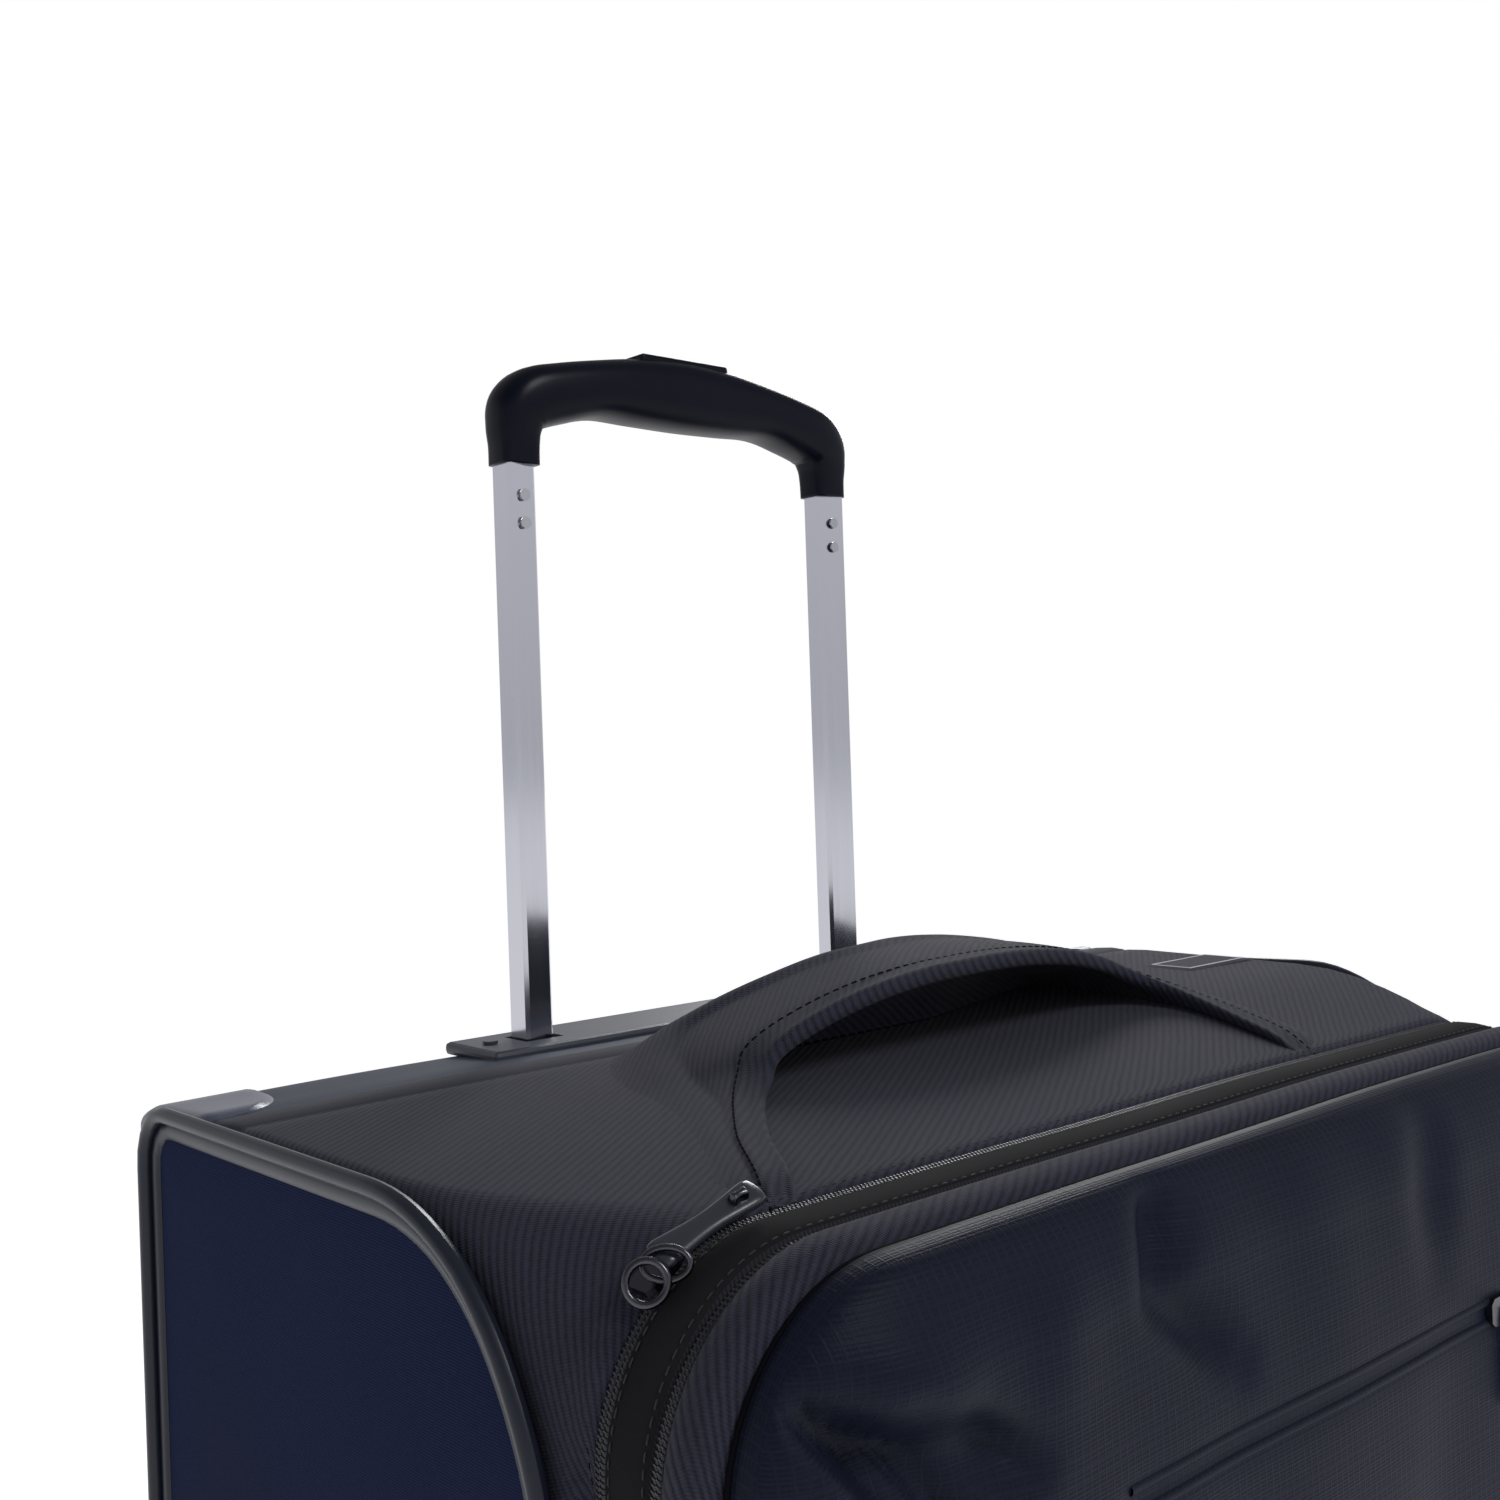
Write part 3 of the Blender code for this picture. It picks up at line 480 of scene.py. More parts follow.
# -------------------------------- the padded main body
# Each row is a ring's y, inset, rise and corner radius, from the back to the main zip.
BODY_ROWS = (
    (0.1400, 0.0100, -0.0120, 0.012), (0.1392, 0.0050, -0.0070, 0.009), (0.1365, 0.0025, -0.0035, 0.006),
    (0.1320, 0.0005, -0.0010, 0.005), (0.1240, 0.0000, 0.0000, 0.005), (0.1100, 0.0000, 0.0008, 0.005),
    (0.1000, 0.0000, 0.0015, 0.005), (0.0840, 0.0000, 0.0030, 0.005), (0.0805, 0.0000, 0.0026, 0.005),
    (0.0795, 0.0000, 0.0033, 0.005), (0.0700, 0.0000, 0.0040, 0.005), (0.0640, 0.0000, 0.0036, 0.005),
    (0.0622, 0.0000, 0.0026, 0.005), (0.0604, 0.0000, 0.0036, 0.005), (0.0500, 0.0000, 0.0042, 0.005),
    (0.0200, 0.0000, 0.0042, 0.005), (-0.0100, 0.0000, 0.0041, 0.005), (-0.0320, 0.0000, 0.0039, 0.006),
    (-0.0500, 0.0002, 0.0036, 0.010), (-0.0650, 0.0004, 0.0032, 0.016), (-0.0800, 0.0006, 0.0026, 0.024),
    (-0.0930, 0.0010, 0.0020, 0.033), (-0.1030, 0.0016, 0.0013, 0.041), (-0.1090, 0.0020, 0.0008, 0.045),
    (-0.1110, 0.0022, 0.0006, 0.046), (-0.1125, 0.0024, 0.0005, 0.047), (-0.1140, 0.0026, 0.0003, 0.048),
    (-0.1155, 0.0028, 0.0001, 0.049), (-0.1170, 0.0032, -0.0004, 0.049), (-0.1182, 0.0038, -0.0011, 0.050),
    (-0.1190, 0.0045, -0.0020, 0.050), (-0.1196, 0.0060, -0.0036, 0.050),
)
INSIDE_ROWS = ((-0.1190, 0.0075, -0.0050, 0.049), (0.1000, 0.0075, -0.0050, 0.012),
               (0.1280, 0.0075, -0.0050, 0.012))
BODY_CLOTHS = [COATED, STRIP, TWILL, LINING, COATED]
REAR_BAND, STRIP_BAND, TWILL_BAND, INSIDE = range(4)
STRIP_FRONT, STRIP_REAR = 0.0622, 0.080
TUBE_HOLE_HALF, TUBE_HOLE_FRONT, TUBE_HOLE_REAR = 0.108, 0.100, 0.132


def body_cloth(r, centre):
    """Which cloth a face of the body has; none where the bezel covers the hole for the tubes."""
    y = centre.y - (BACK - REAR)
    on_top = centre.z > TOP - 0.015
    if on_top and abs(centre.x - CENTRE_X) < TUBE_HOLE_HALF and TUBE_HOLE_FRONT < y < TUBE_HOLE_REAR:
        return None
    if r >= len(BODY_ROWS) - 1:
        return INSIDE
    if y > STRIP_REAR:
        return REAR_BAND
    return STRIP_BAND if y > STRIP_FRONT else TWILL_BAND


body_rows = [ring(*row) for row in BODY_ROWS + INSIDE_ROWS]
body = grid("body_skin", body_rows, BODY_CLOTHS, body_cloth, cap_first=True)
place(body, "case", ["main_shell"])


# -------------------------------- side panels and their piping
PIPING_X = 0.2380
PIPING_BEAD = 0.0027
FLANGE = ((-0.0032, -0.0006), (-0.0026, 0.0004), (0.0000, 0.0008), (0.0026, 0.0004), (0.0032, -0.0006))
PANEL_X = 0.2358
PANEL_PUFF = 0.0016
# How far inside the outline each of a panel's rows lies, and its share of the puff.
PANEL_ROWS = ((0.0068, 0.0), (0.0100, 0.35), (0.0160, 0.6), (0.0300, 0.85), (0.0500, 1.0), (0.0740, 1.08))


def side_outline(inside, steps=16):
    """The rounded outline of a side panel, as (y, z), from the bottom rear corner round by the front."""
    front, rear = -0.110 + inside, 0.126 - inside
    low, high = FLOOR_OF_BODY + 0.0012 + inside, TOP - 0.0012 - inside
    big, small = 0.078 - inside, 0.016 - min(inside, 0.010)
    out = []
    for y, z, start, radius in ((rear - small, low + small, 0, small), (front + big, low + big, -90, big),
                                (front + big, high - big, -180, big),
                                (rear - small, high - small, -270, small)):
        for k in range(steps + 1):
            turn = math.radians(start - 90 * k / steps)
            out.append((y + radius * math.cos(turn), z + radius * math.sin(turn)))
    return out


def panel_line(sign, x, inside):
    """A side panel's outline in the shared frame, raised with the padded top."""
    out = []
    for y, z in side_outline(inside):
        lift = 0.0034 * ease((0.135 - y) / 0.035) + fuller(sign * x, y)
        out.append(at(sign * x, y, z + lift * ease((z - TOP + 0.05) / 0.04)))
    return out


for side, sign in SIDES:
    outward = Vector((sign, 0, 0))
    line = resample(panel_line(sign, PIPING_X, 0.0), 0.006, True)
    place(sweep(f"piping_bead_{side}", line, circle(PIPING_BEAD, 14), outward, PIPING, True),
          "case", [f"side_piping_{side}"])
    line = resample(panel_line(sign, PIPING_X - 0.0012, 0.0052), 0.006, True)
    place(sweep(f"piping_flange_{side}", line, FLANGE, outward, PIPING, True), "case")
    rows = []
    for inside, share in PANEL_ROWS:
        row = panel_line(sign, PANEL_X + PANEL_PUFF * share, inside)
        rows.append(row + [row[0].copy()])
    panel = grid(f"side_skin_{side}", rows, [SIDE_CLOTH], cap_last=True)
    lay_flat(panel, lambda co: (co.y, co.z))
    place(panel, "case", [f"side_panel_{side}"])


# -------------------------------- lid: gusset, expander tape and rolled strip
# The first row is the rim inside the lid. The others run from the main zip to the pocket's seam.
LID_ROWS = (
    (-0.1500, 0.0085, -0.0065, 0.045),
    (-0.1232, 0.0075, -0.0050, 0.049), (-0.1230, 0.0058, -0.0032, 0.050), (-0.1236, 0.0044, -0.0014, 0.050),
    (-0.1270, 0.0036, -0.0004, 0.051), (-0.1315, 0.0036, -0.0003, 0.051), (-0.1360, 0.0042, -0.0007, 0.051),
    (-0.1384, 0.0052, -0.0016, 0.051), (-0.1392, 0.0068, -0.0034, 0.051), (-0.1424, 0.0070, -0.0036, 0.051),
    (-0.1430, 0.0052, -0.0016, 0.051), (-0.1452, 0.0040, -0.0001, 0.051), (-0.1490, 0.0034, 0.0008, 0.051),
    (-0.1530, 0.0038, 0.0006, 0.051), (-0.1560, 0.0056, -0.0008, 0.050), (-0.1580, 0.0088, -0.0034, 0.048),
    (-0.1586, 0.0140, -0.0090, 0.046),
)
LID_CLOTHS = [OLIVE, TWILL, TAPE, LINING]
GUSSET, ROLLED_STRIP, EXPANDER_TAPE, LID_INSIDE = range(4)
LID_LINING_ROWS = ((-0.1450, 0.0165, -0.0145, 0.041), (-0.1455, 0.0125, -0.0105, 0.043),
                   (-0.1496, 0.0105, -0.0085, 0.045))


def lid_cloth(r, _):
    """Which cloth a row of the lid has, from its inside by the gusset and the tape to the rolled strip."""
    if r == 0:
        return LID_INSIDE
    if r < 7:
        return GUSSET
    return EXPANDER_TAPE if r < 10 else ROLLED_STRIP


lid = grid("lid_skin", [ring(*row) for row in LID_ROWS], LID_CLOTHS, lid_cloth, cap_first=True, cap_last=True)
place(lid, "lid", ["lid_shell"])


# -------------------------------- front pocket: slack cloth with creases
POCKET_EDGE = 0.0098
POCKET_TOP = -0.0022
POCKET_BULGE = 0.0222
POCKET_BASE = -0.1608
POCKET_ROUND = 0.030
POCKET_STEPS = 640
SLIDER_LOW, SLIDER_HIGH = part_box("pocket_slider")
POCKET_ZIP_Z = (SLIDER_LOW.z + SLIDER_HIGH.z) / 2
# Each fold's start and end, as x from the mid plane and height over the case's top, its width and its depth.
FOLDS = (
    ((-0.226, -0.012), (-0.192, -0.050), 0.0040, 0.0080),
    ((-0.204, -0.030), (-0.178, -0.066), 0.0060, 0.0085),
    ((-0.184, -0.036), (-0.152, -0.064), 0.0055, 0.0080),
    ((-0.200, -0.018), (-0.160, -0.036), 0.0090, -0.0040),
    ((-0.080, -0.002), (-0.090, -0.030), 0.0080, 0.0085),
    ((-0.090, -0.030), (-0.058, -0.054), 0.0080, 0.0075),
    ((-0.130, -0.010), (-0.135, -0.050), 0.0140, -0.0025),
    ((0.060, -0.004), (0.052, -0.050), 0.0120, 0.0045),
    ((0.190, -0.020), (0.150, -0.055), 0.0080, 0.0045),
    ((-0.190, -0.300), (-0.150, -0.420), 0.0200, 0.0040),
    ((0.120, -0.350), (0.160, -0.470), 0.0200, 0.0040),
    ((-0.200, -0.640), (-0.150, -0.600), 0.0100, 0.0050),
    ((0.200, -0.640), (0.160, -0.600), 0.0100, 0.0050),
    ((-0.200, -0.034), (-0.176, -0.050), 0.0046, 0.0110),
    ((-0.182, -0.046), (-0.160, -0.078), 0.0052, 0.0115),
    ((-0.168, -0.040), (-0.146, -0.056), 0.0050, 0.0090),
)


def valley(x, z, start, end, width, depth):
    """A soft fold that runs from start to end, deepest in the middle of its length."""
    ax, az = start
    bx, bz = end
    length = (bx - ax) ** 2 + (bz - az) ** 2
    t = min(1.0, max(0.0, ((x - ax) * (bx - ax) + (z - az) * (bz - az)) / length))
    off = math.hypot(x - ax - (bx - ax) * t, z - az - (bz - az) * t)
    return -depth * math.exp(-(off / width) ** 2) * (0.35 + 0.65 * math.sin(math.pi * t))


def folds(x, z):
    """The pocket's slack: soft upright waves, creases that run in from its corners, and its zip's groove."""
    soft = noise.noise(Vector((x * 13, z * 5.0, 7.7))) * 0.0030
    soft += noise.noise(Vector((x * 34, z * 12.0, 1.3))) * 0.0008
    for fold in FOLDS:
        soft += valley(x, z - TOP, *fold)
    zip_height = z - POCKET_ZIP_Z
    return soft - 0.0012 * math.exp(-(zip_height / 0.0045) ** 2) * ease((x + 0.118) / 0.010)


def point_round(line, share):
    """The point that far round a closed line, as a share of its number of points."""
    place_on = (share % 1.0) * len(line)
    k = int(place_on)
    return line[k].lerp(line[(k + 1) % len(line)], place_on - k)


def pocket_ring(y, inset, rise):
    outline = ring(y, inset, rise, max(0.048 - (inset - POCKET_EDGE), 0.012))[:-1]
    line = resample(outline, 0.003, True)
    return [point_round(line, k / POCKET_STEPS) for k in range(POCKET_STEPS + 1)]


def pocket_shape():
    """The pocket's rings as y, inset and rise: its seam, its rounded edge, and its face in to the middle."""
    shape = [(-0.1600, 0.0165, -0.0095), (-0.1602, 0.0122, -0.0034)]
    for k in range(17):
        turn = math.radians(90 * k / 16)
        inset = POCKET_EDGE + POCKET_ROUND * (1 - math.cos(turn))
        shape.append((POCKET_BASE - (POCKET_BULGE - 0.003) * math.sin(turn) ** 0.85, inset,
                      POCKET_TOP - (inset - POCKET_EDGE)))
    for k in range(1, 58):
        inset = POCKET_EDGE + POCKET_ROUND + 0.0028 * k
        shape.append((POCKET_BASE - POCKET_BULGE + 0.003 * math.exp(-k / 11), inset,
                      POCKET_TOP + POCKET_EDGE - inset))
    return shape


rows = []
for number, row in enumerate(pocket_shape()):
    weight = ease((number - 3) / 9)
    rows.append([p - Vector((0, folds(p.x - CENTRE_X, p.z) * weight, 0)) for p in pocket_ring(*row)])
pocket = grid("pocket_skin", rows, [RIPSTOP], cap_last=True)
lay_flat(pocket, lambda co: (co.x, co.z), front_and_back_only=True)
place(pocket, "lid", ["front_pocket"])
# The cord along the pocket's seam is a dark line of painted shade, standing in for the shadow in the seam's
# groove.
seam = loop_line(-0.1594, 0.0104, -0.0034, 0.048)
place(sweep("pocket_seam_shade_cord", seam, circle(0.0011, 8), away, THREAD_AND_SEAM_SHADE, True), "lid")

# The pocket's own zip runs level across its face, from left of the middle to the right edge.
zip_xs = [-0.110 + 0.004 * k for k in range(76)]
zip_line = [at(x, POCKET_BASE - POCKET_BULGE + 0.0016 - folds(x, POCKET_ZIP_Z), POCKET_ZIP_Z) for x in zip_xs]
for name, rise in (("upper", 0.0034), ("lower", -0.0034)):
    line = [p + Vector((0, -0.0006, rise)) for p in zip_line]
    place(sweep(f"pocket_zip_lip_{name}", line, circle(0.0016, 10), FORWARD, RIPSTOP), "lid")
place(beads("pocket_zip_teeth", zip_line, FORWARD, (0.0007, 0.0040, 0.0009), 0.0007, COIL, spin=0.2),
      "lid")


# -------------------------------- linings of the lid and the case
PANEL_LOW, PANEL_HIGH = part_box("lining_panel")
HOUSING_LOW, HOUSING_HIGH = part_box("wheel_housing_left")
LINING_FLOOR = FLOOR_OF_BODY + 0.008
LINING_CORNER = 0.042


def lining_profile():
    """The case's lining, as y and z, from its floor in front of the wheel housings up to the panel's top."""
    shelf_y, shelf_z = HOUSING_LOW.y - 0.003, HOUSING_HIGH.z + 0.003
    over_housings = ((shelf_y, LINING_FLOOR), (shelf_y, shelf_z - 0.010), (shelf_y + 0.004, shelf_z),
                     (PANEL_LOW.y - 0.004, shelf_z + 0.006), (PANEL_LOW.y - 0.001, shelf_z + 0.014))
    profile = smooth_line([Vector((0, y, z)) for y, z in over_housings], 5)
    start = profile[-1].z
    return profile + [Vector((0, PANEL_LOW.y, start + (PANEL_HIGH.z - start) * k / 24)) for k in range(1, 25)]


def lining_rows():
    rows = []
    profile = lining_profile()
    for k, p in enumerate(profile):
        below = max(0.0, LINING_FLOOR + LINING_CORNER - p.z)
        half = (PANEL_HIGH.x - PANEL_LOW.x) / 2 - LINING_CORNER
        half += math.sqrt(max(0.0, LINING_CORNER ** 2 - below ** 2))
        row = []
        for j in range(33):
            middle = math.sin(math.pi * k / (len(profile) - 1)) * math.sin(math.pi * j / 32)
            row.append(Vector((CENTRE_X + half * (j / 16 - 1), p.y - 0.0026 * math.sqrt(abs(middle)), p.z)))
        rows.append(row)
    return rows


lid_lining = grid("lid_lining_skin", [ring(*row) for row in LID_LINING_ROWS], [LINING], cap_first=True)
lay_flat(lid_lining, lambda co: (co.x, co.z), front_and_back_only=True)
place(lid_lining, "lid", ["lid_board"])
place(grid("lining_skin", lining_rows(), [LINING]), "case", ["lining_panel"])


# -------------------------------- zips and seams round the case
for name, body_name, y, inset, rise, nodes in (
        ("main_zip_shell", "case", -0.1202, 0.0050, -0.0027, ["main_zip_coil_shell"]),
        ("main_zip_lid", "lid", -0.1222, 0.0050, -0.0027, ["main_zip_coil_lid"]),
        ("expander_zip_rear", "lid", -0.1402, 0.0058, -0.0036, ["expander_zip_coil"]),
        ("expander_zip_front", "lid", -0.1416, 0.0058, -0.0036, [])):
    line = loop_line(y, inset, rise)
    place(sweep(name, line, circle(0.0009, 8), away, COIL, True), body_name, nodes)
    teeth = [p + away(p) * 0.0004 for p in line]
    place(beads(f"{name}_teeth", teeth, away, (0.0007, 0.0019, 0.0008), 0.0007, COIL, True, 0.3),
          body_name)

for name, body_name, y, inset, rise, thread in (
        ("body_edge_stitch", "case", -0.1168, 0.0032, -0.0006, THREAD_AND_SEAM_SHADE),
        ("gusset_rear_stitch", "lid", -0.1254, 0.0038, -0.0009, GUSSET_THREAD),
        ("gusset_front_stitch", "lid", -0.1372, 0.0045, -0.0012, GUSSET_THREAD)):
    stitches(name, loop_line(y, inset, rise), away, (0.0024, 0.0004, 0.0003), 0.0014, body_name, thread, True)


# -------------------------------- top carry handle: a padded hood
# Millimetres. Columns: inner foot, front roll's top, crest and outer foot, each as x, y, height over the top.
HOOD = (
    ((0, 18.5, 4.8), (0, -36, 38.5), (0, 10, 38.5), (0, 66, 4.0)),
    ((20, 18.5, 4.8), (20, -35.8, 37.8), (21, 12, 36.5), (23, 66, 4.0)),
    ((38, 18.5, 4.8), (38, -35, 35.8), (43, 18, 31.0), (46, 66, 4.0)),
    ((56, 23, 4.8), (55, -33.5, 32.5), (61, 26, 24.0), (68, 66, 3.9)),
    ((74, 27, 4.8), (70, -31.8, 28.2), (77, 29, 17.0), (92, 62, 3.8)),
    ((88, 22, 4.8), (84, -30.5, 23.0), (92, 18, 12.0), (112, 40, 3.9)),
    ((97, 2, 4.8), (93, -31, 18.0), (103, 0, 9.0), (126, 16, 3.9)),
    ((103, -18, 4.7), (100, -36, 12.5), (111, -18, 7.0), (134, -6, 3.8)),
    ((113, -42, 4.5), (111, -46, 8.5), (121, -38, 6.2), (142, -30, 3.6)),
    ((126, -61, 4.2), (125, -62, 6.8), (134, -56, 5.4), (151, -52, 3.3)),
    ((141, -80, 3.6), (140, -81, 5.8), (148, -76, 4.6), (161, -74, 2.8)),
    ((158, -106, 2.4), (157, -107, 4.4), (165, -103, 3.2), (174, -100, 1.9)),
    ((166, -119, -3.0), (165, -119, -0.6), (172, -119, -1.2), (182, -118, -2.0)),
)
# The right half arches wider, and its leg turns back in towards the middle.
HOOD_RIGHT = (
    ((20, 18.5, 4.8), (20, -35.8, 38.6), (23, 14, 38.8), (24, 66, 4.2)),
    ((38, 18.5, 4.9), (40, -35, 37.6), (50, 18, 37.0), (50, 68, 4.6)),
    ((57, 23, 5.2), (60, -33.5, 35.2), (80, 20, 32.8), (80, 68, 5.2)),
    ((78, 28, 5.6), (77, -32, 31.8), (100, 19, 28.5), (108, 64, 6.0)),
    ((98, 32, 6.0), (90, -31, 28.0), (116, 14, 23.5), (132, 54, 7.0)),
    ((112, 32, 6.4), (99, -33, 23.8), (124, 2, 19.0), (146, 34, 8.5)),
    ((116, 14, 6.6), (106, -39, 19.6), (128, -14, 15.5), (152, 8, 8.8)),
    ((114, -20, 6.0), (108, -50, 16.0), (126, -36, 12.8), (152, -22, 7.6)),
    ((108, -52, 5.0), (105, -66, 12.6), (121, -58, 10.4), (144, -50, 6.0)),
    ((99, -82, 3.6), (98, -86, 9.0), (112, -84, 7.6), (130, -80, 4.0)),
    ((91, -104, 2.0), (90, -105, 5.6), (101, -105, 4.6), (116, -103, 2.2)),
    ((84, -119, -3.0), (84, -119, -0.4), (94, -119, -1.0), (106, -119, -2.0)),
)
FULL_ROLL = 3.2


def real(v):
    """A point in the shared frame from the hood's millimetres."""
    return at(v.x / 1000, v.y / 1000, TOP + v.z / 1000)


def bend(start, pull, end, t):
    """A point of the curve from start to end that leans towards pull."""
    return start * (1 - t) ** 2 + pull * 2 * t * (1 - t) + end * t * t


def hood_profile(foot, roll, crest, outer):
    """The hood across its length: under it from the foot, round the front roll, and over to its outer foot.

    Also gives the point of the stitched line behind the roll.
    """
    front = roll - crest
    front.z = 0
    front.normalize()
    size = 1.5 + 1.7 * ease((roll.z - 4.0) / 14.0)
    hub = roll - UPWARD * size
    low_back = hub - front * size * 0.4 - UPWARD * size
    pull = Vector((foot.x, foot.y, max(foot.z, low_back.z))).lerp(low_back, 0.15)
    profile = [bend(foot, pull, low_back, k / 9) for k in range(9)]
    for k in range(13):
        turn = math.radians(-105 + 205 * k / 12)
        profile.append(hub + front * size * math.cos(turn) + UPWARD * size * math.sin(turn))
    profile.append(roll - front * (size + 1.2) - UPWARD * 1.1 * size / FULL_ROLL)
    start = roll - front * (size + 4.0)
    pull = start.lerp(crest, 0.6) + UPWARD * 1.2 * size / FULL_ROLL
    profile += [bend(start, pull, crest, k / 8) for k in range(1, 9)]
    for k in range(1, 13):
        t = k / 12
        level = crest.lerp(outer, t)
        drop = crest.z - outer.z
        level.z = outer.z + drop * (1 - ease(t)) + drop * 0.25 * math.sin(math.pi * t) * (1 - t)
        profile.append(level)
    stitch = roll - front * (size + 6.5) - UPWARD * (0.15 + 0.4 * size / FULL_ROLL)
    return profile, stitch


hood_left = [[Vector((-x, y, z)) for x, y, z in row] for row in reversed(HOOD[1:])]
hood_from_left = hood_left + [[Vector(p) for p in row] for row in (HOOD[0], *HOOD_RIGHT)]
feet, rolls, crests, outers = [smooth_line([row[k] for row in hood_from_left], 7) for k in range(4)]
profiles = [hood_profile(*columns) for columns in zip(feet, rolls, crests, outers)]
hood = grid("top_handle_hood", [[real(p) for p in profile] for profile, _ in profiles], [TWILL])
lay_flat(hood, lambda co: (co.x, co.y - co.z * 0.6))
place(hood, "case", ["carry_handle_top"])

stitches("hood_stitch", [real(stitch) for _, stitch in profiles], UPWARD, (0.0028, 0.0006, 0.0005), 0.0014)
inner_seam = [real(foot + UPWARD * 0.3) for foot in feet[28:-32]]
stitches("hood_inner_seam", inner_seam, UPWARD, (0.0040, 0.0026, 0.0012), 0.0008)
for side, sign in SIDES:
    line = [at(sign * x, STRIP_FRONT, TOP + 0.0027 + crown(sign * x, STRIP_FRONT, TOP))
            for x in (0.216, 0.180, 0.140, 0.092)]
    stitches(f"top_seam_{side}", line, UPWARD, (0.0036, 0.0010, 0.0005), 0.0012)


# -------------------------------- side carry handle
SIDE_GRIP_LOW, SIDE_GRIP_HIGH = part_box("carry_handle_side")
SIDE_GRIP_Y = (SIDE_GRIP_LOW.y + SIDE_GRIP_HIGH.y) / 2
WALL_X = SIDE_GRIP_HIGH.x


def strap_rows(steps=60):
    """The strap from its lower to its upper end: flat and wide there, and round where it's held."""
    stand = SIDE_GRIP_HIGH.x - SIDE_GRIP_LOW.x - 0.004
    rows = []
    for k in range(steps + 1):
        t = k / steps
        z = SIDE_GRIP_LOW.z + (SIDE_GRIP_HIGH.z - SIDE_GRIP_LOW.z) * t
        lift = stand * ease(min(t, 1 - t) / 0.22)
        width = 0.026 - 0.008 * ease(min(t, 1 - t) / 0.25)
        thick = 0.0022 + 0.0020 * ease(min(t, 1 - t) / 0.25)
        rows.append([Vector((WALL_X - lift - 0.0015 - squared(s, 0.7) * thick,
                             SIDE_GRIP_Y + squared(c, 0.6) * width, z)) for c, s in turns(16)])
    return rows


strap = grid("side_handle_strap", strap_rows(), [TWILL], cap_first=True, cap_last=True)
place(strap, "case", ["carry_handle_side"])
for name, end, inward in (("upper", SIDE_GRIP_HIGH.z, -1), ("lower", SIDE_GRIP_LOW.z, 1)):
    line = [Vector((WALL_X - 0.0050, SIDE_GRIP_Y + y, end + inward * 0.012)) for y in (-0.020, 0.020)]
    stitches(f"side_handle_stitch_{name}", line, LEFTWARD, (0.0026, 0.0008, 0.0006), 0.0014)
    middle = Vector((WALL_X - 0.0062, SIDE_GRIP_Y, end + inward * 0.006))
    anchor = tab(f"side_handle_anchor_{name}", middle - BACKWARD * 0.029, middle + BACKWARD * 0.029,
                 0.0075, 0.0016, LEFTWARD, PLASTIC)
    place(anchor, "case")


# -------------------------------- stitched panel on the back
half_panel, low_z, high_z = HALF - 0.030, FLOOR_OF_BODY + 0.110, TOP - 0.040
corners = [Vector((CENTRE_X + sign * half_panel, BACK + 0.0001, z))
           for sign, z in ((-1, low_z), (1, low_z), (1, high_z), (-1, high_z))]
ribs = [[corners[0].lerp(corners[1], share), corners[3].lerp(corners[2], share)] for share in (0.27, 0.73)]
for name, line in (("outline", corners), ("left_rib", ribs[0]), ("right_rib", ribs[1])):
    stitches(f"back_stitch_{name}", line, BACKWARD, (0.0032, 0.0010, 0.0006), 0.0016, closed=line is corners)


# -------------------------------- woven label: a plain frame, no words
LABEL_LOW, LABEL_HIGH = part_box("woven_label")
LABEL_WIDE, LABEL_DEEP = LABEL_HIGH.x - LABEL_LOW.x, LABEL_HIGH.y - LABEL_LOW.y
FRAME_INSET = 0.0030
FRAME_STEPS = 8


def label_point(a, b, rise=0.0):
    """The label's surface at shares a and b of its sides, tucked down at its edges."""
    x, y = LABEL_LOW.x + LABEL_WIDE * a, LABEL_LOW.y + LABEL_DEEP * b
    tuck = 0.0006 if min(a, b, 1 - a, 1 - b) < 0.01 else 0.0
    return Vector((x, y, TOP + 0.0050 + fuller(x - CENTRE_X, y - BACK + REAR) + rise - tuck))


rows = [[label_point(a, b) for a in (0, 0.04, 0.2, 0.35, 0.5, 0.65, 0.8, 0.96, 1)]
        for b in (0, 0.06, 0.3, 0.5, 0.7, 0.94, 1)]
place(grid("label_cloth_piece", rows, [LABEL_CLOTH]), "case", ["woven_label"])
edge_a, edge_b = FRAME_INSET / LABEL_WIDE, FRAME_INSET / LABEL_DEEP
frame_line = []
for a0, b0, a1, b1 in ((0, 0, 1, 0), (1, 0, 1, 1), (1, 1, 0, 1), (0, 1, 0, 0)):
    for k in range(FRAME_STEPS):
        a, b = a0 + (a1 - a0) * k / FRAME_STEPS, b0 + (b1 - b0) * k / FRAME_STEPS
        frame_line.append(label_point(edge_a + a * (1 - 2 * edge_a), edge_b + b * (1 - 2 * edge_b), 0.0002))
frame_line.append(frame_line[0].copy())
place(beads("label_frame", frame_line, UPWARD, (0.0009, 0.0006, 0.0003), 0.0001, LABEL_THREAD),
      "case")


# -------------------------------- guards on the two upper rear corners
GUARD_REAR, GUARD_LONG = 0.1385, 0.0580
GUARD_WIDE = 0.040
GUARD_BEND = 0.005
GUARD_TUCK = 0.0022


def row_rise(y):
    """How far the body's rows stand over the CAD's top at a distance y."""
    for (y0, _, rise0, _), (y1, _, rise1, _) in zip(BODY_ROWS, BODY_ROWS[1:]):
        if y0 >= y >= y1:
            return rise0 + (rise1 - rise0) * (y0 - y) / (y0 - y1)
    return 0.0


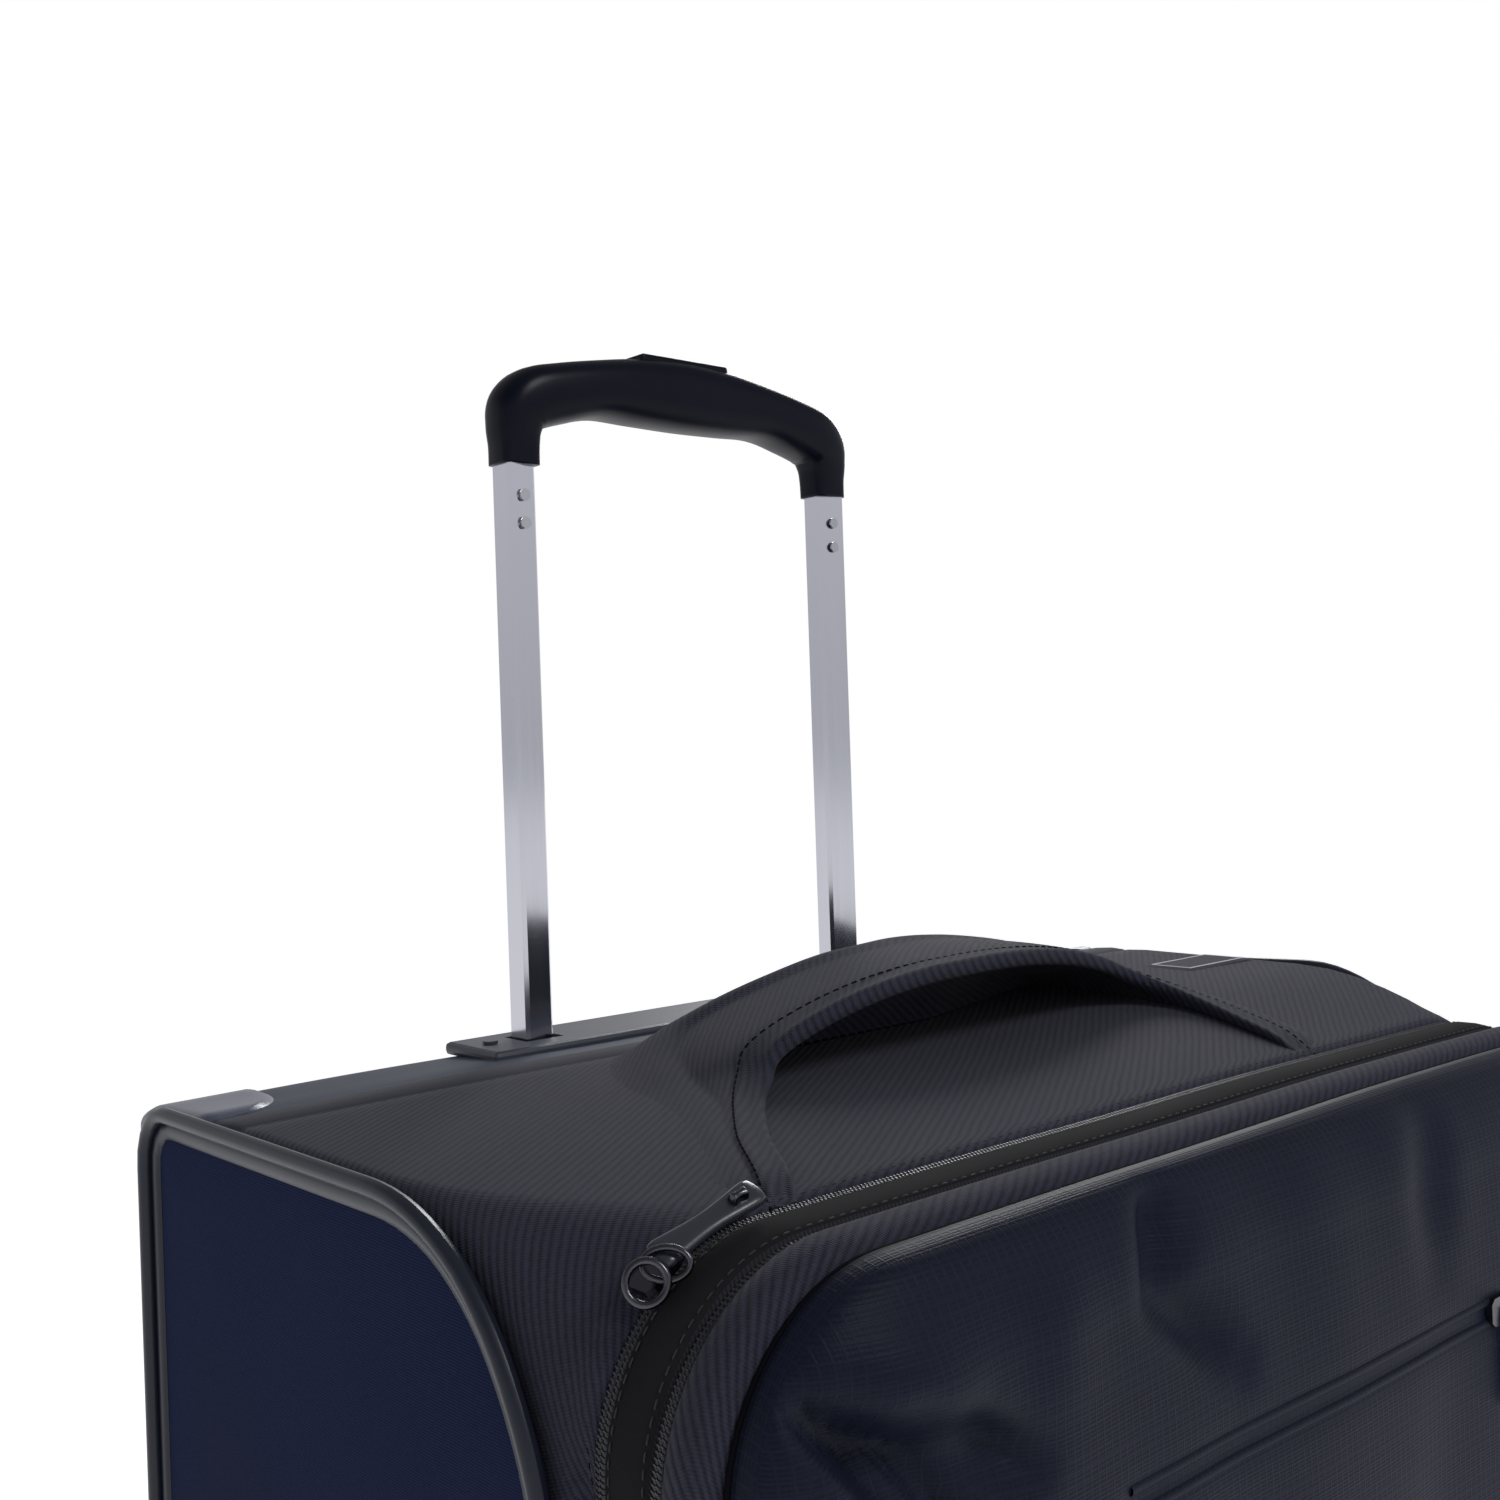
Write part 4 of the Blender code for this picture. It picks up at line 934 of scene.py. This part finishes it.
def guard_row(share):
    """A guard's (x, z) at a share of its length: in over the top, round the corner and down the side."""
    y = GUARD_REAR - GUARD_LONG * share
    reach = GUARD_WIDE * math.sqrt(max(0.0, 1 - share ** 2.6))
    front_end = ease((share - 0.88) / 0.12)
    top = TOP + (row_rise(y) + 0.0016 - 0.0026 * front_end)
    out = 0.0010 - 0.0022 * front_end - 0.0030 * ease((0.03 - share) / 0.03)
    row = [(HALF - reach + (reach - GUARD_BEND) * j / 8, top - (0 if j else GUARD_TUCK)) for j in range(9)]
    for j in range(1, 9):
        turn = math.radians(90 - 90 * j / 8)
        row.append((HALF - GUARD_BEND + (GUARD_BEND + out) * math.cos(turn),
                    top - GUARD_BEND + GUARD_BEND * math.sin(turn)))
    for j in range(1, 9):
        row.append((HALF + out - (GUARD_TUCK if j == 8 else 0), top - GUARD_BEND - (reach + 0.004) * j / 8))
    return y, row


for side, sign in SIDES:
    rows = []
    for y, row in [guard_row(k / 14) for k in range(15)]:
        rows.append([at(sign * x, y, z + crown(sign * x, y, z)) for x, z in row])
    place(grid(f"corner_guard_skin_{side}", rows, [GUARD]), "case", [f"corner_guard_{side}"])


# -------------------------------- pull handle's moulded grip
# Centre line with its outer, inner and front-to-back half widths, in millimetres from the grip's foot.
GRIP_PATH = (
    (-85.0, 0.0, 8.7, 8.7, 7.6), (-85.0, 8.0, 8.9, 9.2, 8.4), (-84.8, 15.0, 10.0, 10.2, 9.8),
    (-82.5, 21.5, 12.2, 11.2, 11.4), (-76.0, 27.2, 12.6, 12.4, 12.4), (-64.0, 31.2, 11.6, 12.6, 13.0),
    (-46.0, 34.0, 12.2, 11.4, 13.4), (-24.0, 35.8, 13.8, 13.6, 13.4), (0.0, 36.4, 14.6, 14.6, 13.4),
)
GRIP_LOW, GRIP_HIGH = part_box("pull_grip")


def grip_rows():
    """The grip's rings, squarer at its feet where they meet the tubes."""
    left = [Vector(p) for p in GRIP_PATH]
    line = smooth_line(left + [Vector((-p[0], *p[1:])) for p in reversed(left[:-1])], 6)
    middle_y = (GRIP_LOW.y + GRIP_HIGH.y) / 2
    rows = []
    for i, (x, z, outer, inner, deep) in enumerate(line):
        before, after = line[max(i - 1, 0)], line[min(i + 1, len(line) - 1)]
        tangent = Vector((after[0] - before[0], after[1] - before[1])).normalized()
        power = 0.38 + 0.34 * min(1.0, z / 20)
        row = []
        for c, s in turns(28):
            reach = squared(s, power) * (outer if s > 0 else inner)
            row.append(Vector((CENTRE_X + (x - tangent[1] * reach) / 1000,
                               middle_y + squared(c, power) * deep / 1000,
                               GRIP_LOW.z + (z + tangent[0] * reach) / 1000)))
        rows.append(row)
    return rows


place(grid("pull_grip_skin", grip_rows(), [GRIP], cap_first=True, cap_last=True), "handle",
      ["pull_grip"])


# -------------------------------- the corner zip's pull
PULL_LOW, PULL_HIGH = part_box("zip_pull_corner")
PULL_UP = Vector((-0.2, -0.5, 0.9))
RING_FACING = Vector((-0.6, -0.7, 0.35))
pull_y = (PULL_LOW.y + PULL_HIGH.y) / 2 - 0.0015
foot = Vector((PULL_LOW.x - 0.001, pull_y, PULL_LOW.z - 0.0015))
tip = Vector((PULL_HIGH.x - 0.004, pull_y + 0.002, PULL_HIGH.z - 0.0008))
place(tab("corner_pull_tab", foot, tip, 0.0044, 0.0016, PULL_UP, PULL), "corner_pull",
      ["zip_pull_corner"])
place(wire_ring("corner_pull_ring", foot + Vector((-0.004, -0.003, -0.0035)), RING_FACING, 0.0050, 0.0010),
      "case")
shackle = wire_ring("corner_pull_shackle", foot + Vector((0.002, -0.003, -0.0005)), RING_FACING,
                    0.0038, 0.0009, 1.5)
place(shackle, "case")
stud = tab("corner_pull_stud", tip - Vector((0.011, 0.0012, 0.0016)), tip - Vector((0.006, 0.0012, 0.0006)),
           0.0016, 0.0028, PULL_UP, GUNMETAL)
place(stud, "corner_pull")


# -------------------------------- finishes on the CAD's hard parts
FINISHES = (
    (ALUMINIUM, ("slide_tube",)),
    (STEEL, ("outer_tube", "release_rod", "grip_rivet", "axle", "lock_pin")),
    (PLASTIC, ("frame_rod", "bottom_guard", "wheel_housing", "front_foot", "hub", "tube_foot", "tube_plug",
               "release_bar")),
    (GRIP, ("release_button",)),
    (BEZEL, ("handle_bezel", "bezel_screw")),
    (RUBBER, ("tyre",)),
    (GUNMETAL, ("zip_slider", "zip_pull", "pocket_slider", "pocket_pull")),
    (BOARD, ("back_board",)),
)
for node_name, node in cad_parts.items():
    for material, starts in FINISHES:
        if node_name.startswith(starts):
            node.data.materials.clear()
            node.data.materials.append(material)


# -------------------------------- studio
FLOOR_REACH = 30
floor_mesh = bpy.data.meshes.new("studio_floor")
floor_corners = [(FLOOR_REACH * x, FLOOR_REACH * y, 0) for x, y in ((-1, -1), (1, -1), (1, 1), (-1, 1))]
floor_mesh.from_pydata(floor_corners, [], [(0, 1, 2, 3)])
floor = bpy.data.objects.new("studio_floor", floor_mesh)
bpy.context.collection.objects.link(floor)
floor_paint = Nodes("floor_paint")
floor_paint.set(Base_Color=(0.8, 0.8, 0.8, 1.0), Roughness=0.9, Specular_IOR_Level=0.0)
floor_paint.set(Emission_Color=(1.0, 1.0, 1.0, 1.0), Emission_Strength=0.75)
floor_mesh.materials.append(floor_paint.material)


def studio_world():
    """A sky that is brightest just over the horizon, for the case's light, and plain white to the camera."""
    world = bpy.data.worlds.new("studio_world")
    world.use_nodes = True
    sky = world.node_tree
    direction = sky.nodes.new("ShaderNodeTexCoord").outputs["Generated"]
    split = sky.nodes.new("ShaderNodeSeparateXYZ")
    sky.links.new(direction, split.inputs[0])
    height = sky.nodes.new("ShaderNodeMapRange")
    height.inputs["From Min"].default_value = -1.0
    sky.links.new(split.outputs[2], height.inputs["Value"])
    ramp = sky.nodes.new("ShaderNodeValToRGB")
    ramp.color_ramp.elements[0].position = 0.45
    ramp.color_ramp.elements[0].color = (0.40, 0.42, 0.50, 1)
    ramp.color_ramp.elements[1].position = 0.62
    ramp.color_ramp.elements[1].color = (0.80, 0.80, 0.84, 1)
    for position, level in ((0.52, 0.66), (0.78, 0.20), (1.0, 0.28)):
        ramp.color_ramp.elements.new(position).color = (level, level, level * 1.03, 1)
    sky.links.new(height.outputs[0], ramp.inputs[0])
    lit = sky.nodes.new("ShaderNodeMixRGB")
    lit.inputs[2].default_value = (1, 1, 1, 1)
    sky.links.new(sky.nodes.new("ShaderNodeLightPath").outputs["Is Camera Ray"], lit.inputs[0])
    sky.links.new(ramp.outputs[0], lit.inputs[1])
    backdrop = sky.nodes["Background"]
    sky.links.new(lit.outputs[0], backdrop.inputs[0])
    backdrop.inputs[1].default_value = 1.0
    return world


def area_light(name, location, target, size, power):
    data = bpy.data.lights.new(name, "AREA")
    data.size = size
    data.energy = power
    light = bpy.data.objects.new(name, data)
    light.location = location
    light.rotation_euler = (Vector(target) - Vector(location)).to_track_quat("-Z", "Y").to_euler()
    bpy.context.collection.objects.link(light)


bpy.context.scene.world = studio_world()
area_light("front_light", (0.3, -1.5, 2.2), (-0.1, 0, 0.7), 0.6, 20)
area_light("rear_light", (1.5, 1.2, 1.7), (0, 0, 0.75), 0.7, 16)

# The camera looks level, along the direction ahead, and is rolled a little, as in the photo.
CAMERA_PLACE = (-0.4422, -0.4156, 0.860)
ROLL = 0.0335
camera_data = bpy.data.cameras.new("photo_camera")
camera_data.lens = 39.6
camera_data.sensor_width = 36
camera_data.clip_start = 0.02
camera = bpy.data.objects.new("photo_camera", camera_data)
bpy.context.collection.objects.link(camera)
ahead = Vector((0.663, 0.749, 0)).normalized()
right = Vector((ahead.y, -ahead.x, 0))
camera_x = right * math.cos(ROLL) - UPWARD * math.sin(ROLL)
camera_y = right * math.sin(ROLL) + UPWARD * math.cos(ROLL)
turned = Matrix((camera_x, camera_y, -ahead)).transposed().to_4x4()
camera.matrix_world = Matrix.Translation(CAMERA_PLACE) @ turned
bpy.context.scene.camera = camera
bpy.context.scene.view_settings.view_transform = "Standard"
